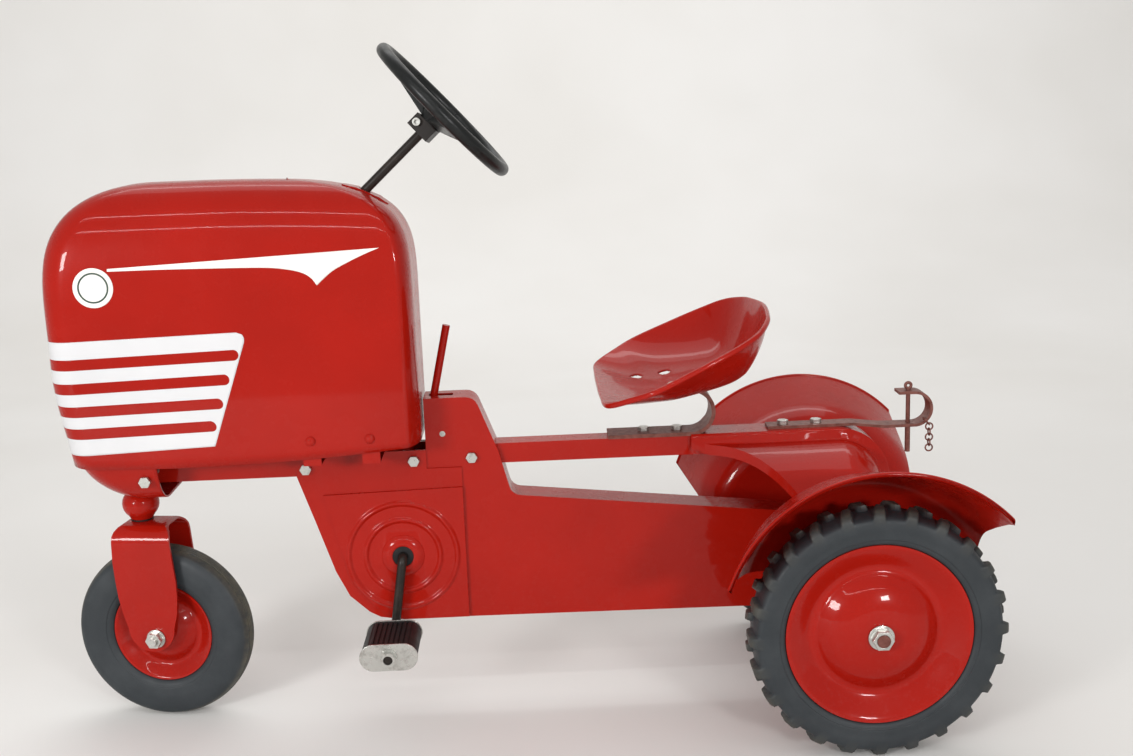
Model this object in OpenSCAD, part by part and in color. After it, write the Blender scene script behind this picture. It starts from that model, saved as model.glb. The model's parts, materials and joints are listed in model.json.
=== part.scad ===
// Chain driven pedal tractor for a child, in pressed steel, with two gears.
// X runs forward, Y to the left and Z up. The origin lies on the floor, under the middle
// of the length between the back of the rear tyres and the front of the front tyre.

/* [Wheels] */
// Distance between the rear axle and the front axle
wheelbase = 723; // [690:1:760]
// Outer diameter of the rear tyres over the lugs
rear_tyre_d = 250; // [244:1:256]
// Width of a rear tyre
rear_tyre_w = 44; // [40:1:48]
// Distance between the middle planes of the two rear tyres
rear_track = 324; // [316:1:330]
// Outer diameter of a rear rim
rear_rim_d = 180; // [172:1:186]
// Lugs on each side of a rear tyre
lug_count = 24; // [12:1:30]
// Outer diameter of the front tyre
front_tyre_d = 189; // [182:1:194]
// Width of the front tyre
front_tyre_w = 35; // [32:1:38]
// Outer diameter of the front rim
front_rim_d = 108; // [100:1:114]
// Diameter of the rear axle
axle_d = 12.7; // [10:0.1:14]
// Diameter of the front axle bolt
front_axle_d = 9.5; // [8:0.1:11]

/* [Chassis] */
// Width over the two pressed side frames
chassis_w = 36; // [36:1:40]
// Thickness of the pressed sheet
sheet = 1.6; // [1.2:0.1:1.8]
// Height of the underside of the chassis at the cranks
belly_z = 99; // [96:1:104]
// Top of the lever tower
tower_z = 338; // [332:1:344]
// Height of the seat rail's underside
seat_rail_z = 265; // [264:1:268]
// Height of the seat rail
seat_rail_h = 21; // [18:1:23]
// Width of the seat rail
seat_rail_w = 25; // [22:1:28]
// Height of the front rail's underside
front_rail_z = 261; // [259:1:262]
// Depth of the front rail
front_rail_h = 23; // [18:1:24]

/* [Hood] */
// Reach of the nose ahead of the fork's pivot
nose_ahead = 63; // [58:1:70]
// Width of the hood
hood_w = 130; // [124:1:140]
// Height of the hood's lower edge
hood_z = 300; // [298:1:303]
// Height of the crown of the hood
hood_top_z = 568; // [560:1:580]
// Length of the hood
hood_l = 365; // [361:1:366]

/* [Steering] */
// Distance of the fork's pivot ahead of the front axle
trail = 15; // [9:1:21]
// Fall of the steering column from level
column_angle = 42.5; // [41:0.1:44]
// Diameter of the steering column
column_d = 9.5; // [8:0.1:10]
// Diameter of the steering wheel to the middle of its rim
steering_wheel_d = 164; // [150:1:176]
// Thickness of the steering wheel's rim
steering_rim_d = 13.5; // [11:0.5:15]
// Angle to the right at which the fork stands
rest_steer = 9; // [0:1:14]
// Diameter of the fork's stem
stem_d = 16; // [14:0.5:18]
// Width over the fork's legs
fork_w = 56; // [54:1:60]

/* [Drive] */
// Distance of the cranks behind the front axle
crank_back = 259; // [257:1:261]
// Height of the cranks
crank_z = 171; // [169:1:173]
// Throw of each crank arm
crank_throw = 80; // [74:1:84]
// Diameter of the crank rod
crank_d = 9.5; // [8:0.1:10]
// Angle by which the left pedal stands ahead of straight down
crank_angle = 9; // [0:1:20]
// Length of a pedal's rubber
pedal_l = 61; // [50:1:66]
// Width of a pedal
pedal_w = 57; // [50:1:62]
// Thickness of a pedal
pedal_t = 27; // [22:1:29]
// Pitch of the two chains
chain_pitch = 12.7; // [12.4:0.1:12.9]
// Teeth of the low gear on the crank
low_crank_teeth = 10; // [9:1:12]
// Teeth of the high gear on the crank
high_crank_teeth = 16; // [14:1:16]
// Teeth of the low gear on the axle
low_axle_teeth = 11; // [9:1:11]
// Teeth of the high gear on the axle
high_axle_teeth = 10; // [9:1:11]

/* [Seat and hitch] */
// Width of the seat pan
seat_w = 282; // [250:1:290]
// Length of the seat pan along its slope
seat_l = 193; // [180:1:205]
// Depth of the seat pan below its rim where it is deepest
seat_depth = 52; // [48:1:56]
// Slope of the seat pan's rim
seat_tilt = 24.7; // [20:0.1:28]
// Width of the fenders, inner plate to lip
fender_w = 112; // [106:1:118]
// Radius of the fender's lip
fender_r = 156; // [152:1:162]
// Width of the drawbar strap
drawbar_w = 20; // [16:1:24]
// Diameter of the hitch pin
hitch_pin_d = 5.6; // [4.6:0.1:7]

/* [Hidden] */
$fn = 48;

enamel = [0.75, 0.10, 0.08];
zinc = [0.75, 0.76, 0.74];
rubber = [0.16, 0.18, 0.19];
black_steel = [0.09, 0.09, 0.10];
bare_steel = [0.45, 0.40, 0.37];
nylon = [0.12, 0.12, 0.13];

// Clearances that the pieces share
run_gap = 0.05;
seat_gap = 0.3;
bolt_d = 6.35;
bolt_hole_d = 6.6;

// Places that follow from the driving sizes
rear_r = rear_tyre_d / 2;
front_r = front_tyre_d / 2;
axle_z = rear_r;
half_w = chassis_w / 2;
tyre_y = rear_track / 2;
fender_in_y = tyre_y + rear_tyre_w / 2 + 34 - fender_w;
fender_out_y = fender_in_y + fender_w;
fender_z = axle_z + 15;
head_x = wheelbase + trail;
nose_reach = head_x + nose_ahead;
hood_rear_x = nose_reach - hood_l;
crank_x = wheelbase - crank_back;
// The front tyre, turned with the fork, reaches furthest ahead
front_reach = head_x + (front_r - trail) * cos(rest_steer) + 2 * sin(rest_steer);
origin_x = (front_reach - rear_r) / 2;

// Everything is drawn from the rear axle and set on the common origin here.
module on_origin() { translate([-origin_x, 0, 0]) children(); }

// A rod along Y between two places
module y_rod(d, y0, y1) {
    translate([0, y0, 0]) rotate([-90, 0, 0]) cylinder(d = d, h = y1 - y0);
}

// An outline in X and Z made into a plate between two places along Y
module y_plate(y0, y1) {
    translate([0, y1, 0]) rotate([90, 0, 0]) linear_extrude(y1 - y0) children();
}

// A profile of radius against Y turned about the Y axis
module y_turn() { rotate([-90, 0, 0]) rotate_extrude($fn = 96) children(); }

// The same piece on the left, as drawn, or mirrored to the right
module on_side(side) { if (side > 0) children(); else mirror([0, 1, 0]) children(); }

// Outline of a slot between the centres of its two round ends
module slot(a, b, w) {
    along = (b - a) / norm(b - a);
    across = [-along[1], along[0]] * w / 2;
    polygon([a - across, b - across, b + across, a + across]);
    translate(a) circle(d = w, $fn = 32);
    translate(b) circle(d = w, $fn = 32);
}

// A profile line set off along its own normals, to the left of its run
function line_normal(a, b) = [a[1] - b[1], b[0] - a[0]] / norm(b - a);
function set_off(p, t) = [for (i = [0 : len(p) - 1])
    let(n0 = line_normal(p[max(i - 1, 0)], p[max(i, 1)]),
        n1 = line_normal(p[min(i, len(p) - 2)], p[min(i + 1, len(p) - 1)]))
    p[i] + (n0 + n1) * t / (1 + n0 * n1)];
function sheet_of(p, t) = let(q = set_off(p, t)) concat(p, [for (i = [len(q) - 1 : -1 : 0]) q[i]]);

// Points of an arc about a centre
function arc(c, r, a0, a1, n) =
    [for (i = [0 : n]) let(a = a0 + (a1 - a0) * i / n) c + r * [cos(a), sin(a)]];

// Side frames: a long beam with the lever tower in front and the axle post behind

frame_front_x = hood_rear_x - 2;
frame_rear_x = -28;
post_x = 34;
axle_belly_z = 95;
beam_rear_z = 198;
beam_front_z = 231;
frame_run = concat([[frame_front_x, belly_z], [frame_rear_x, axle_belly_z],
    [frame_rear_x, seat_rail_z - 40], [frame_rear_x + 20, seat_rail_z],
    [post_x - 6, seat_rail_z], [post_x, beam_rear_z]],
    arc([frame_front_x - 97, beam_front_z + 12], 12.5, -84, -10, 4), [[frame_front_x - 75, 279]],
    arc([frame_front_x - 43, tower_z - 14], 14, 158, 90, 4), [[frame_front_x, tower_z]]);
slot_rear_x = frame_front_x - 30;
slot_front_x = frame_front_x - 5;
lever_pivot = [frame_front_x - 18, 300];
guide_at = [frame_front_x - 10, 226];
bolt_rear = [frame_front_x - 47, 274];
bolt_middle = [frame_front_x + 13, 273];
bolt_front = [frame_front_x + 125, 269];
axle_bearing_d = 20;
rod_hole_d = 6;

module frame_side(side) {
    color(enamel) on_origin() on_side(side) difference() {
        union() {
            y_plate(half_w - sheet, half_w) polygon(frame_run);
            // The flange that turns in along the outline
            y_plate(0.1, half_w) polygon(sheet_of(concat(frame_run, [[frame_front_x, 264]]), -sheet));
        }
        // Slot for the lever and gate for the seat rail
        translate([slot_rear_x, -1, tower_z - 5]) cube([slot_front_x - slot_rear_x, 6.5, 10]);
        translate([post_x + 20, -1, seat_rail_z - 0.2]) cube([frame_front_x - post_x - 28,
            seat_rail_w / 2 + 1.2, seat_rail_h + 0.6]);
        translate([0, 0, axle_z]) y_rod(axle_bearing_d, half_w - 3, half_w + 3);
        translate([bolt_rear[0], 0, bolt_rear[1]]) y_rod(bolt_hole_d, half_w - 3, half_w + 3);
        for (at = [lever_pivot, guide_at])
            translate([at[0], 0, at[1]]) y_rod(rod_hole_d + 0.1, half_w - 3, half_w + 3);
    }
}

// Gear case panels: pressed covers round the cranks

case_rear_x = frame_front_x - 36;
case_front = [crank_x + 105, front_rail_z - 0.3];
case_top_z = 264;
case_inner_y = half_w;
case_outer_y = half_w + sheet;
pad_h = 2;
case_sweep = concat([case_front], [for (p = [[90, 214], [72, 156], [59, 128], [39, 109],
    [28, belly_z + 4], [4, belly_z]]) [crank_x + p[0], p[1]]]);
case_flange = concat([case_sweep[0] + (case_sweep[1] - case_sweep[0]) * 0.045],
    [for (i = [1 : len(case_sweep) - 1]) case_sweep[i]]);
case_outline = concat([[case_rear_x, belly_z], [case_rear_x, case_top_z],
    [frame_front_x, case_top_z], [frame_front_x, front_rail_z + front_rail_h],
    [case_front[0], front_rail_z + front_rail_h]], case_sweep);
pad_outline = concat([[case_rear_x, belly_z + 1], [case_rear_x, 243]], [for (p = [[79, 240], [63, 172],
    [50, 135], [35, 118], [22, belly_z + 8], [2, belly_z + 1]]) [crank_x + p[0], p[1]]]);
boss_d = 42;
bearing_d = 22;

// A round bead pressed into the panel
module bead(r, h) {
    translate([crank_x, case_outer_y + pad_h - 0.4, crank_z]) y_turn()
        translate([r, 0]) intersection() {
            scale(h / 2) circle(r = 2, $fn = 24);
            translate([-6, 0]) square([12, 6]);
        }
}

module gearcase(side) {
    color(enamel) on_origin() on_side(side) difference() {
        union() {
            y_plate(case_inner_y, case_outer_y) polygon(case_outline);
            y_plate(case_outer_y - 0.1, case_outer_y + pad_h) polygon(pad_outline);
            y_plate(0.1, case_outer_y) polygon(sheet_of(concat(case_flange,
                [[frame_front_x + seat_gap + sheet, belly_z]]), -sheet));
            bead(57, 2.2);
            bead(39, 2.2);
            translate([crank_x, case_outer_y + pad_h - 0.1, crank_z]) y_turn()
                polygon([[0, 0], [boss_d / 2, 0], [boss_d / 2 - 4, 2.2], [0, 2.2]]);
        }
        translate([crank_x, 0, crank_z]) y_rod(bearing_d, case_inner_y - 2, case_outer_y + 9);
        for (at = [bolt_middle, bolt_front])
            translate([at[0], 0, at[1]]) y_rod(bolt_hole_d, case_inner_y - 2, case_outer_y + 2);
    }
}

// Front rail: an open channel that carries the hood, the fork and the column bracket

rail_front_x = head_x + 22;
bracket_xs = [crank_x + 21, crank_x + 80];
column_bracket_x = head_x - 78;
pan_bolt = [head_x - 25, 274];
head_tube_d = 26;

module front_rail() {
    color(enamel) on_origin() difference() {
        translate([frame_front_x + seat_gap, -half_w, front_rail_z])
            cube([rail_front_x - frame_front_x - seat_gap, chassis_w, front_rail_h]);
        translate([frame_front_x - 1, -half_w + sheet, front_rail_z + sheet])
            cube([rail_front_x - frame_front_x + 2, chassis_w - 2 * sheet, front_rail_h]);
        translate([head_x, 0, front_rail_z - 2]) cylinder(d = head_tube_d, h = 10);
        for (at = [bolt_middle, bolt_front, pan_bolt])
            translate([at[0], 0, at[1]]) y_rod(bolt_hole_d, -half_w - 3, half_w + 3);
    }
}

// Seat rail: an inverted channel from the tower to the rear

seat_rail_front_x = frame_front_x - 38;
seat_rail_rear_x = 5;
seat_rail_top = seat_rail_z + seat_rail_h;
strap_bolt_xs = [171, 206];
drawbar_bolt_xs = [24, 59];

module seat_rail() {
    color(enamel) on_origin() difference() {
        translate([seat_rail_rear_x, -seat_rail_w / 2, seat_rail_z])
            cube([seat_rail_front_x - seat_rail_rear_x, seat_rail_w, seat_rail_h]);
        translate([seat_rail_rear_x - 1, -seat_rail_w / 2 + sheet, seat_rail_z - 1])
            cube([seat_rail_front_x - seat_rail_rear_x + 2, seat_rail_w - 2 * sheet,
                seat_rail_h - sheet + 1]);
        for (x = concat(strap_bolt_xs, drawbar_bolt_xs))
            translate([x, 0, seat_rail_z - 1]) cylinder(d = bolt_hole_d, h = seat_rail_h + 2);
        translate([bolt_rear[0], 0, bolt_rear[1]]) y_rod(bolt_hole_d, -30, 30);
    }
}

// Rear cover: a saddle over the seat rail with wings down to the fenders. Behind the post
// it turns down through a quarter of a circle and runs on to its lower edge.

arch_at = [5, 232];
spine_r = seat_rail_top + seat_gap + sheet - arch_at[1];
cover_z = spine_r + arch_at[1];
spine_w = 40;
wing_y = fender_in_y - seat_gap;
wing_root_r = spine_r - 11;
wing_drop = 41;
cover_front_x = 158;
cover_low_z = 190;
spine_front_x = 143;
lip_h = 11;
function wing_at(s) = [spine_w / 2 + 2.5 + (wing_y - spine_w / 2 - 2.5) * s,
    wing_root_r - wing_drop * pow(s, 1.5)];
cover_line = concat([[0, spine_r], [spine_w / 2 - 2.5, spine_r], [spine_w / 2 - 0.6, spine_r - 2],
    [spine_w / 2 + 1, wing_root_r + 1.5]], [for (i = [0 : 9]) wing_at(i / 9)]);
// The front edge sweeps back fast beside the spine and slowly out on the wing.
function front_edge(s) = [cover_front_x - 102 * pow(s, 0.99),
    spine_w / 2 + (wing_y + 1 - spine_w / 2) * pow(s, 2.2)];
front_line = [for (i = [0 : 14]) front_edge(i / 14)];

// The cover's half section, drawn along X from the arch's axis, with a drop straight down
module cover_sweep(length, drop) {
    translate([arch_at[0], 0, arch_at[1]]) rotate([90, 0, 90]) linear_extrude(length)
        polygon(concat(cover_line, [for (i = [len(cover_line) - 1 : -1 : 0]) cover_line[i] - [0, drop]]));
}

module cover_half() {
    section = sheet_of(cover_line, -sheet);
    intersection() {
        translate([arch_at[0], 0, arch_at[1]]) rotate([90, 0, 90]) linear_extrude(160) polygon(section);
        linear_extrude(400) polygon(concat([[arch_at[0], 0], [cover_front_x, 0]], front_line,
            [[arch_at[0], wing_y + 1]]));
    }
    // The turned down lip along the front edge
    intersection() {
        cover_sweep(160, lip_h);
        linear_extrude(400) polygon(sheet_of(front_line, sheet));
    }
    // The quarter turn and its run down
    translate([arch_at[0], 0, arch_at[1]]) {
        rotate([-90, 0, 0]) rotate([0, 0, -90]) rotate_extrude(angle = -90, $fn = 96)
            polygon([for (p = section) [p[1], p[0]]]);
        translate([0, 0, cover_low_z - arch_at[1]]) linear_extrude(arch_at[1] - cover_low_z)
            polygon([for (p = section) [-p[1], p[0]]]);
    }
}

module rear_cover() {
    color(enamel) on_origin() difference() {
        union() {
            cover_half();
            mirror([0, 1, 0]) cover_half();
        }
        // The seat strap curls up through the front of the spine
        translate([spine_front_x, -spine_w / 2 + 3, wing_root_r + arch_at[1] + 4]) cube([60, spine_w - 6, 20]);
        for (x = drawbar_bolt_xs)
            translate([x, 0, seat_rail_z]) cylinder(d = bolt_hole_d, h = 60);
    }
}

// Fenders: dished shields round the upper half of the rear tyres

fender_x = 2;
fender_low_r = 104;
// From the lip the wall leans in, then turns through a round corner to the flat inner plate.
bend_from = 27;
bend_size = [36.7, 71.4];
dish = concat([[fender_r, fender_out_y]],
    [for (i = [0 : 10]) let(a = bend_from + (90 - bend_from) * i / 10)
        [fender_low_r + bend_size[0] * cos(a), fender_in_y + bend_size[1] * (1 - sin(a))]],
    [[24, fender_in_y]]);

module fender(side) {
    color(enamel) on_origin() on_side(side) intersection() {
        translate([fender_x, 0, fender_z]) union() {
            y_turn() polygon(sheet_of(dish, -sheet));
            y_turn() translate([fender_r - 1.2, fender_out_y - 2.2]) circle(r = 2.2, $fn = 24);
        }
        y_plate(0, 300) polygon([[-112, 168], [-112, 320], [180, 320], [180, 226],
            [150, 192], [128, 168]]);
    }
}

// Hood: a deep pressed shell, drawn as level rings that shrink to the crown

hood_h_n = 4;
hood_v_n = 9;
crown_start_z = 440;
function hood_nose(z) = nose_reach - (z < 382 ? 12 * pow((382 - z) / 82, 1.5) : 0);
function crown_fall(x) = 7 * pow(max(0, (hood_rear_x + 214 - x) / 170), 2);
// The lower edge hangs lower in its front half than at its two ends.
edge_run = 234;
function edge_fall(x) = 12 * (1 - pow((x - hood_rear_x) / edge_run - 1, 2));

// One half ring of the hood, from the rear to the nose, at a height and a crown angle.
// The crown angle runs from 0 at the shoulders to 90 on the top.
function hood_half(z, a, t) =
    let(side = 60 * pow(1 - cos(a), 1.5), front = 110 * pow(1 - cos(a), 1.45),
        rear = 122 * pow(1 - cos(a), 1.95),
        w = hood_w / 2 - side - t, xr = hood_rear_x + rear + t,
        xf = hood_nose(min(z, crown_start_z)) - front - t,
        rr = min(14, w * 0.6), rf = min(30, (xf - xr) * 0.3), wf = w * 0.52,
        pts = concat([for (i = [0 : hood_h_n]) let(b = 180 - 90 * i / hood_h_n)
                [xr + rr + rr * cos(b), w - rr + rr * sin(b)]],
            [for (i = [0 : 7]) let(b = 90 - 90 * i / 7)
                [xf - rf + rf * cos(b), w - wf + wf * sin(b)]]))
    [for (p = pts) [p[0], p[1], z < hood_z + 1 ? z - edge_fall(p[0]) : a == 0 ? z : crown_start_z
        + (hood_top_z - crown_fall(p[0]) - crown_start_z) * sin(a) - t * sin(a)]];
function whole_ring(half) = concat(half,
    [for (i = [len(half) - 1 : -1 : 0]) [half[i][0], -half[i][1], half[i][2]]]);
function hood_rings(t, z0) = concat(
    [for (z = [z0, 320, 345, 382, 412]) whole_ring(hood_half(z, 0, t))],
    [for (i = [0 : hood_v_n]) whole_ring(hood_half(crown_start_z, 90 * i / hood_v_n, t))]);

// A solid through a stack of level rings, each clockwise from above
module ring_solid(rings) {
    n = len(rings);
    m = len(rings[0]);
    last = (n - 1) * m;
    polyhedron(points = [for (r = rings) each r], faces = concat(
        [for (j = [0 : n - 2]) for (i = [0 : m - 1]) each let(a = j * m + i,
            b = j * m + (i + 1) % m) [[a, b + m, a + m], [a, b, b + m]]],
        [for (i = [0 : m / 2 - 2]) each let(b = m - 1 - i)
            [[i, b - 1, i + 1], [i, b, b - 1]]],
        [for (i = [0 : m / 2 - 2]) each let(a = last + i, b = last + m - 1 - i)
            [[a, a + 1, b - 1], [a, b - 1, b]]]));
}

hood_sheet = 2;

module hood() {
    color(enamel) on_origin() difference() {
        ring_solid(hood_rings(0, hood_z));
        ring_solid(hood_rings(hood_sheet, hood_z - 1));
        at_column() translate([0, 0, 280]) cylinder(d = column_d + 6, h = 110, $fn = 32);
        for (x = bracket_xs) translate([x, 0, hood_screw_z]) y_rod(4.6, -hood_w, hood_w);
    }
}

bracket_z = front_rail_z + front_rail_h;
hood_screw_z = 310;

module hood_brackets() {
    ear_y = hood_w / 2 - hood_sheet;
    color(enamel) on_origin() for (x = bracket_xs) difference() {
        union() {
            translate([x - 9, -ear_y, bracket_z]) cube([18, 2 * ear_y, sheet]);
            for (side = [-1, 1]) translate([x - 9, side > 0 ? ear_y - sheet : -ear_y, bracket_z])
                cube([18, sheet, 34]);
        }
        translate([x, 0, hood_screw_z]) y_rod(4.4, -hood_w, hood_w);
    }
}

module hood_screws() {
    color(enamel) on_origin() for (x = bracket_xs) for (side = [-1, 1])
        translate([x, 0, hood_screw_z]) on_side(side) {
            y_rod(4.2, hood_w / 2 - hood_sheet - sheet - 4, hood_w / 2);
            translate([0, hood_w / 2, 0]) y_turn() intersection() {
                translate([0, -3.2]) circle(r = 6.4, $fn = 32);
                square([5, 4]);
            }
        }
}

// Nose pan: a boat shaped floor under the nose

pan_rear_x = head_x - 38;
pan_z = 248;
pan_keel_w = 22;
pan_lip_z = hood_z + 4;
function pan_w(s) = pan_keel_w + (hood_w / 2 - hood_sheet - 0.5 - pan_keel_w)
    * pow(1 - pow(1 - s, 2.2), 1 / 2.2);
function pan_half(s, t) =
    let(w = pan_w(s) - t,
        xf = nose_reach - 15.5 - 40 * pow(1 - s, 2) - t, xr = pan_rear_x - 4 * t,
        rf = min(30, w - 2), wf = min(34, w - 2),
        z = pan_z + t + (pan_lip_z - pan_z) * s)
    concat([[xr, w, z]], [for (i = [0 : 8]) let(b = 90 - 90 * i / 8)
        [xf - rf + rf * cos(b), w - wf + wf * sin(b), z]]);
function pan_rings(t) = [for (i = [0 : 7]) whole_ring(pan_half(pow(i / 7, 1.4), t))];

pan_bolt_y = pan_w((pan_bolt[1] + 6 - pan_z) / (pan_lip_z - pan_z));

module nose_pan() {
    color(enamel) on_origin() difference() {
        union() {
            ring_solid(pan_rings(0));
            // A flat seat for the bolt on each side
            translate([pan_bolt[0], 0, pan_bolt[1]]) y_rod(13.5, -pan_bolt_y, pan_bolt_y);
        }
        ring_solid(pan_rings(sheet));
        // Room for the rail, the head tube and the pan's bolt
        translate([pan_rear_x - 1, -half_w - 0.2, front_rail_z - 0.2])
            cube([rail_front_x - pan_rear_x + 1.3, chassis_w + 0.4, 60]);
        translate([head_x, 0, pan_z - 5]) cylinder(d = head_tube_d + 0.4, h = 60);
        translate([pan_bolt[0], 0, pan_bolt[1]]) y_rod(bolt_hole_d, -90, 90);
    }
}

// Hexagon head on a bolt's end
module hex(d, h) { cylinder(d = d / cos(30), h = h, $fn = 6); }

module cross_bolt(at, y1) {
    translate([at[0], 0, at[1]]) {
        y_rod(bolt_d, -y1, y1);
        for (side = [-1, 1]) on_side(side) translate([0, y1, 0]) rotate([-90, 0, 0]) hex(10.5, 4.4);
    }
}

module top_bolt(x, z, grip) {
    translate([x, 0, z]) {
        translate([0, 0, -grip - 8]) cylinder(d = bolt_d, h = grip + 8);
        hex(10.5, 4.2);
        translate([0, 0, -grip - 5]) hex(10.5, 5);
    }
}

strap_t = 4;
drawbar_t = 3;

module frame_bolts() {
    color(zinc) on_origin() {
        cross_bolt(bolt_rear, half_w);
        for (at = [bolt_middle, bolt_front]) cross_bolt(at, case_outer_y);
        cross_bolt(pan_bolt, pan_bolt_y);
        for (x = strap_bolt_xs) top_bolt(x, seat_rail_top + strap_t, strap_t + sheet);
        for (x = drawbar_bolt_xs) top_bolt(x, cover_z + drawbar_t, drawbar_t + 2 * sheet + seat_gap);
        seat_bolt();
    }
}
// Steering head: tube, bushes, fork, stem, arm and nuts

head_tube_z = pan_z - 2;
head_tube_top = front_rail_z + front_rail_h + 2;
bush_flange = 1.5;
crown_z = 217;
bulb_z = crown_z + bush_flange + seat_gap;
arm_z = 298.7;
arm_reach = 40;
arm_hub_z = head_tube_top + bush_flange + seat_gap;

module head_tube() {
    color(enamel) on_origin() translate([head_x, 0, 0]) difference() {
        union() {
            translate([0, 0, head_tube_z]) cylinder(d = head_tube_d, h = head_tube_top - head_tube_z);
            // The bulb shaped bearing cup under the pan
            rotate_extrude() polygon(concat([[0, bulb_z], [11, bulb_z]],
                [for (i = [0 : 8]) let(a = -50 + 110 * i / 8) [5.5 + 13.5 * cos(a), 235 + 15 * sin(a)]],
                [[10, pan_z - 0.1], [0, pan_z - 0.1]]));
        }
        translate([0, 0, bulb_z - 1]) cylinder(d = stem_d + 4, h = 100);
    }
}

module head_bushes() {
    color(nylon) on_origin() translate([head_x, 0, 0]) {
        for (end = [0, 1]) difference() {
            union() {
                translate([0, 0, end ? head_tube_top - 12 : bulb_z]) cylinder(d = stem_d + 4, h = 12);
                translate([0, 0, end ? head_tube_top : bulb_z - bush_flange])
                    cylinder(d = stem_d + 7, h = bush_flange);
            }
            translate([0, 0, bulb_z - 5]) cylinder(d = stem_d + 2 * run_gap, h = 100);
        }
    }
}

// Pieces that turn with the fork, drawn straight ahead about the head's axis
module steered() { on_origin() translate([head_x, 0, 0]) rotate([0, 0, -rest_steer]) children(); }

fork_t = 3;
leg_tip = [-10.5, 104.5];
leg_tip_r = 25;
shoulder_r = 20;
crown_r = 14;
leg_front = [[19.3, 122], [22.4, 140], [23.8, 157], [24.8, 178]];
leg_rear = [[-40.6, 178], [-42.4, 157], [-42.2, 140], [-40.4, 122]];

module front_fork() {
    color(enamel) steered() difference() {
        intersection() {
            // Front view: an arch with round shoulders
            translate([-100, 0, 0]) rotate([90, 0, 90]) linear_extrude(200) difference() {
                arch(fork_w / 2, crown_z, shoulder_r);
                arch(fork_w / 2 - fork_t, crown_z - fork_t, shoulder_r - fork_t);
            }
            // Side view: legs that narrow to a round tip
            y_plate(-60, 60) {
                translate(leg_tip) circle(r = leg_tip_r, $fn = 64);
                polygon(concat([leg_tip + [leg_tip_r, 0]], leg_front,
                    arc([10, crown_z - crown_r], crown_r, 10, 90, 4),
                    arc([-25, crown_z - crown_r], crown_r, 90, 170, 4),
                    leg_rear, [leg_tip - [leg_tip_r, 0]]));
            }
        }
        translate([0, 0, crown_z - 10]) cylinder(d = stem_d + 0.1, h = 20);
        translate([-trail, 0, front_r]) y_rod(front_axle_d + 0.4, -60, 60);
    }
}

// A flat arch: straight sides, level top, round shoulders
module arch(half, top, r) {
    translate([-half, 0]) square([2 * half, top - r]);
    translate([-half + r, 0]) square([2 * (half - r), top]);
    for (side = [-1, 1]) translate([side * (half - r), top - r]) circle(r = r, $fn = 64);
}

// The stem's collar sits under the crown
collar_z = crown_z - fork_t - 4.2;

module fork_stem() {
    color(bare_steel) steered() union() {
        translate([0, 0, collar_z]) cylinder(d = stem_d, h = arm_z + 14 - collar_z);
        translate([0, 0, collar_z]) cylinder(d = stem_d + 3, h = 4);
    }
}

module fork_nuts() {
    color(zinc) steered() {
        difference() {
            translate([0, 0, arm_z + 2]) hex(24, 8);
            translate([0, 0, arm_z]) cylinder(d = stem_d, h = 20);
        }
        for (side = [-1, 1]) translate([-trail, 0, front_r]) on_side(side) difference() {
            union() {
                y_rod(20, fork_w / 2, fork_w / 2 + 1.6);
                translate([0, fork_w / 2 + 1.6, 0]) rotate([-90, 0, 0]) hex(15, 7.5);
            }
            y_rod(front_axle_d, 0, 60);
        }
    }
}

module steering_arm() {
    slot_in = arm_reach - 8;
    slot_out = arm_reach / cos(35) + 8.5;
    color(bare_steel) steered() difference() {
        union() {
            translate([0, 0, arm_hub_z]) cylinder(d = stem_d + 9, h = arm_z + 2 - arm_hub_z);
            translate([-slot_out - 5, -10, arm_z - 2]) cube([slot_out + 5, 20, 4]);
            translate([-slot_out - 5, 0, arm_z - 2]) cylinder(d = 20, h = 4);
        }
        translate([0, 0, arm_hub_z - 5]) cylinder(d = stem_d, h = 40);
        translate([0, 0, arm_z - 5]) linear_extrude(10) slot([5 - slot_out, 0], [-slot_in - 5, 0], 10);
    }
}

// Front wheel: two pressed discs on a hub with a ribbed tyre

hub_bore = front_axle_d + 2 * run_gap;

module front_axle() {
    color(zinc) steered() translate([-trail, 0, front_r])
        y_rod(front_axle_d, -fork_w / 2 - 13, fork_w / 2 + 13);
}

module front_hub() {
    reach = fork_w / 2 - fork_t - seat_gap;
    color(zinc) steered() translate([-trail, 0, front_r]) difference() {
        y_rod(17, -reach, reach);
        y_rod(hub_bore, -reach - 1, reach + 1);
    }
}

// Profile of one pressed wheel disc, from the hub over the dome to the lip
disc_line = [[12, 21.5], [24, 21], [34, 19], [45, 14.5], [54, 8.5], [59, 4.9], [64, 4.2], [69, 6],
    [80, 12.8], [86, 16.2], [90, 17.2]];
module disc_profile(r_hub, k_r, k_y) {
    polygon(sheet_of(concat([[r_hub, 20 * k_y]], [for (p = disc_line) [p[0] * k_r, p[1] * k_y]]), -sheet));
}

front_hub_d = 17;

module front_rim(side) {
    color(enamel) steered() translate([-trail, 0, front_r]) on_side(side) difference() {
        y_turn() disc_profile(front_hub_d / 2, front_rim_d / 180, 0.7);
        y_rod(front_hub_d, -1, 40);
    }
}

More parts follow.
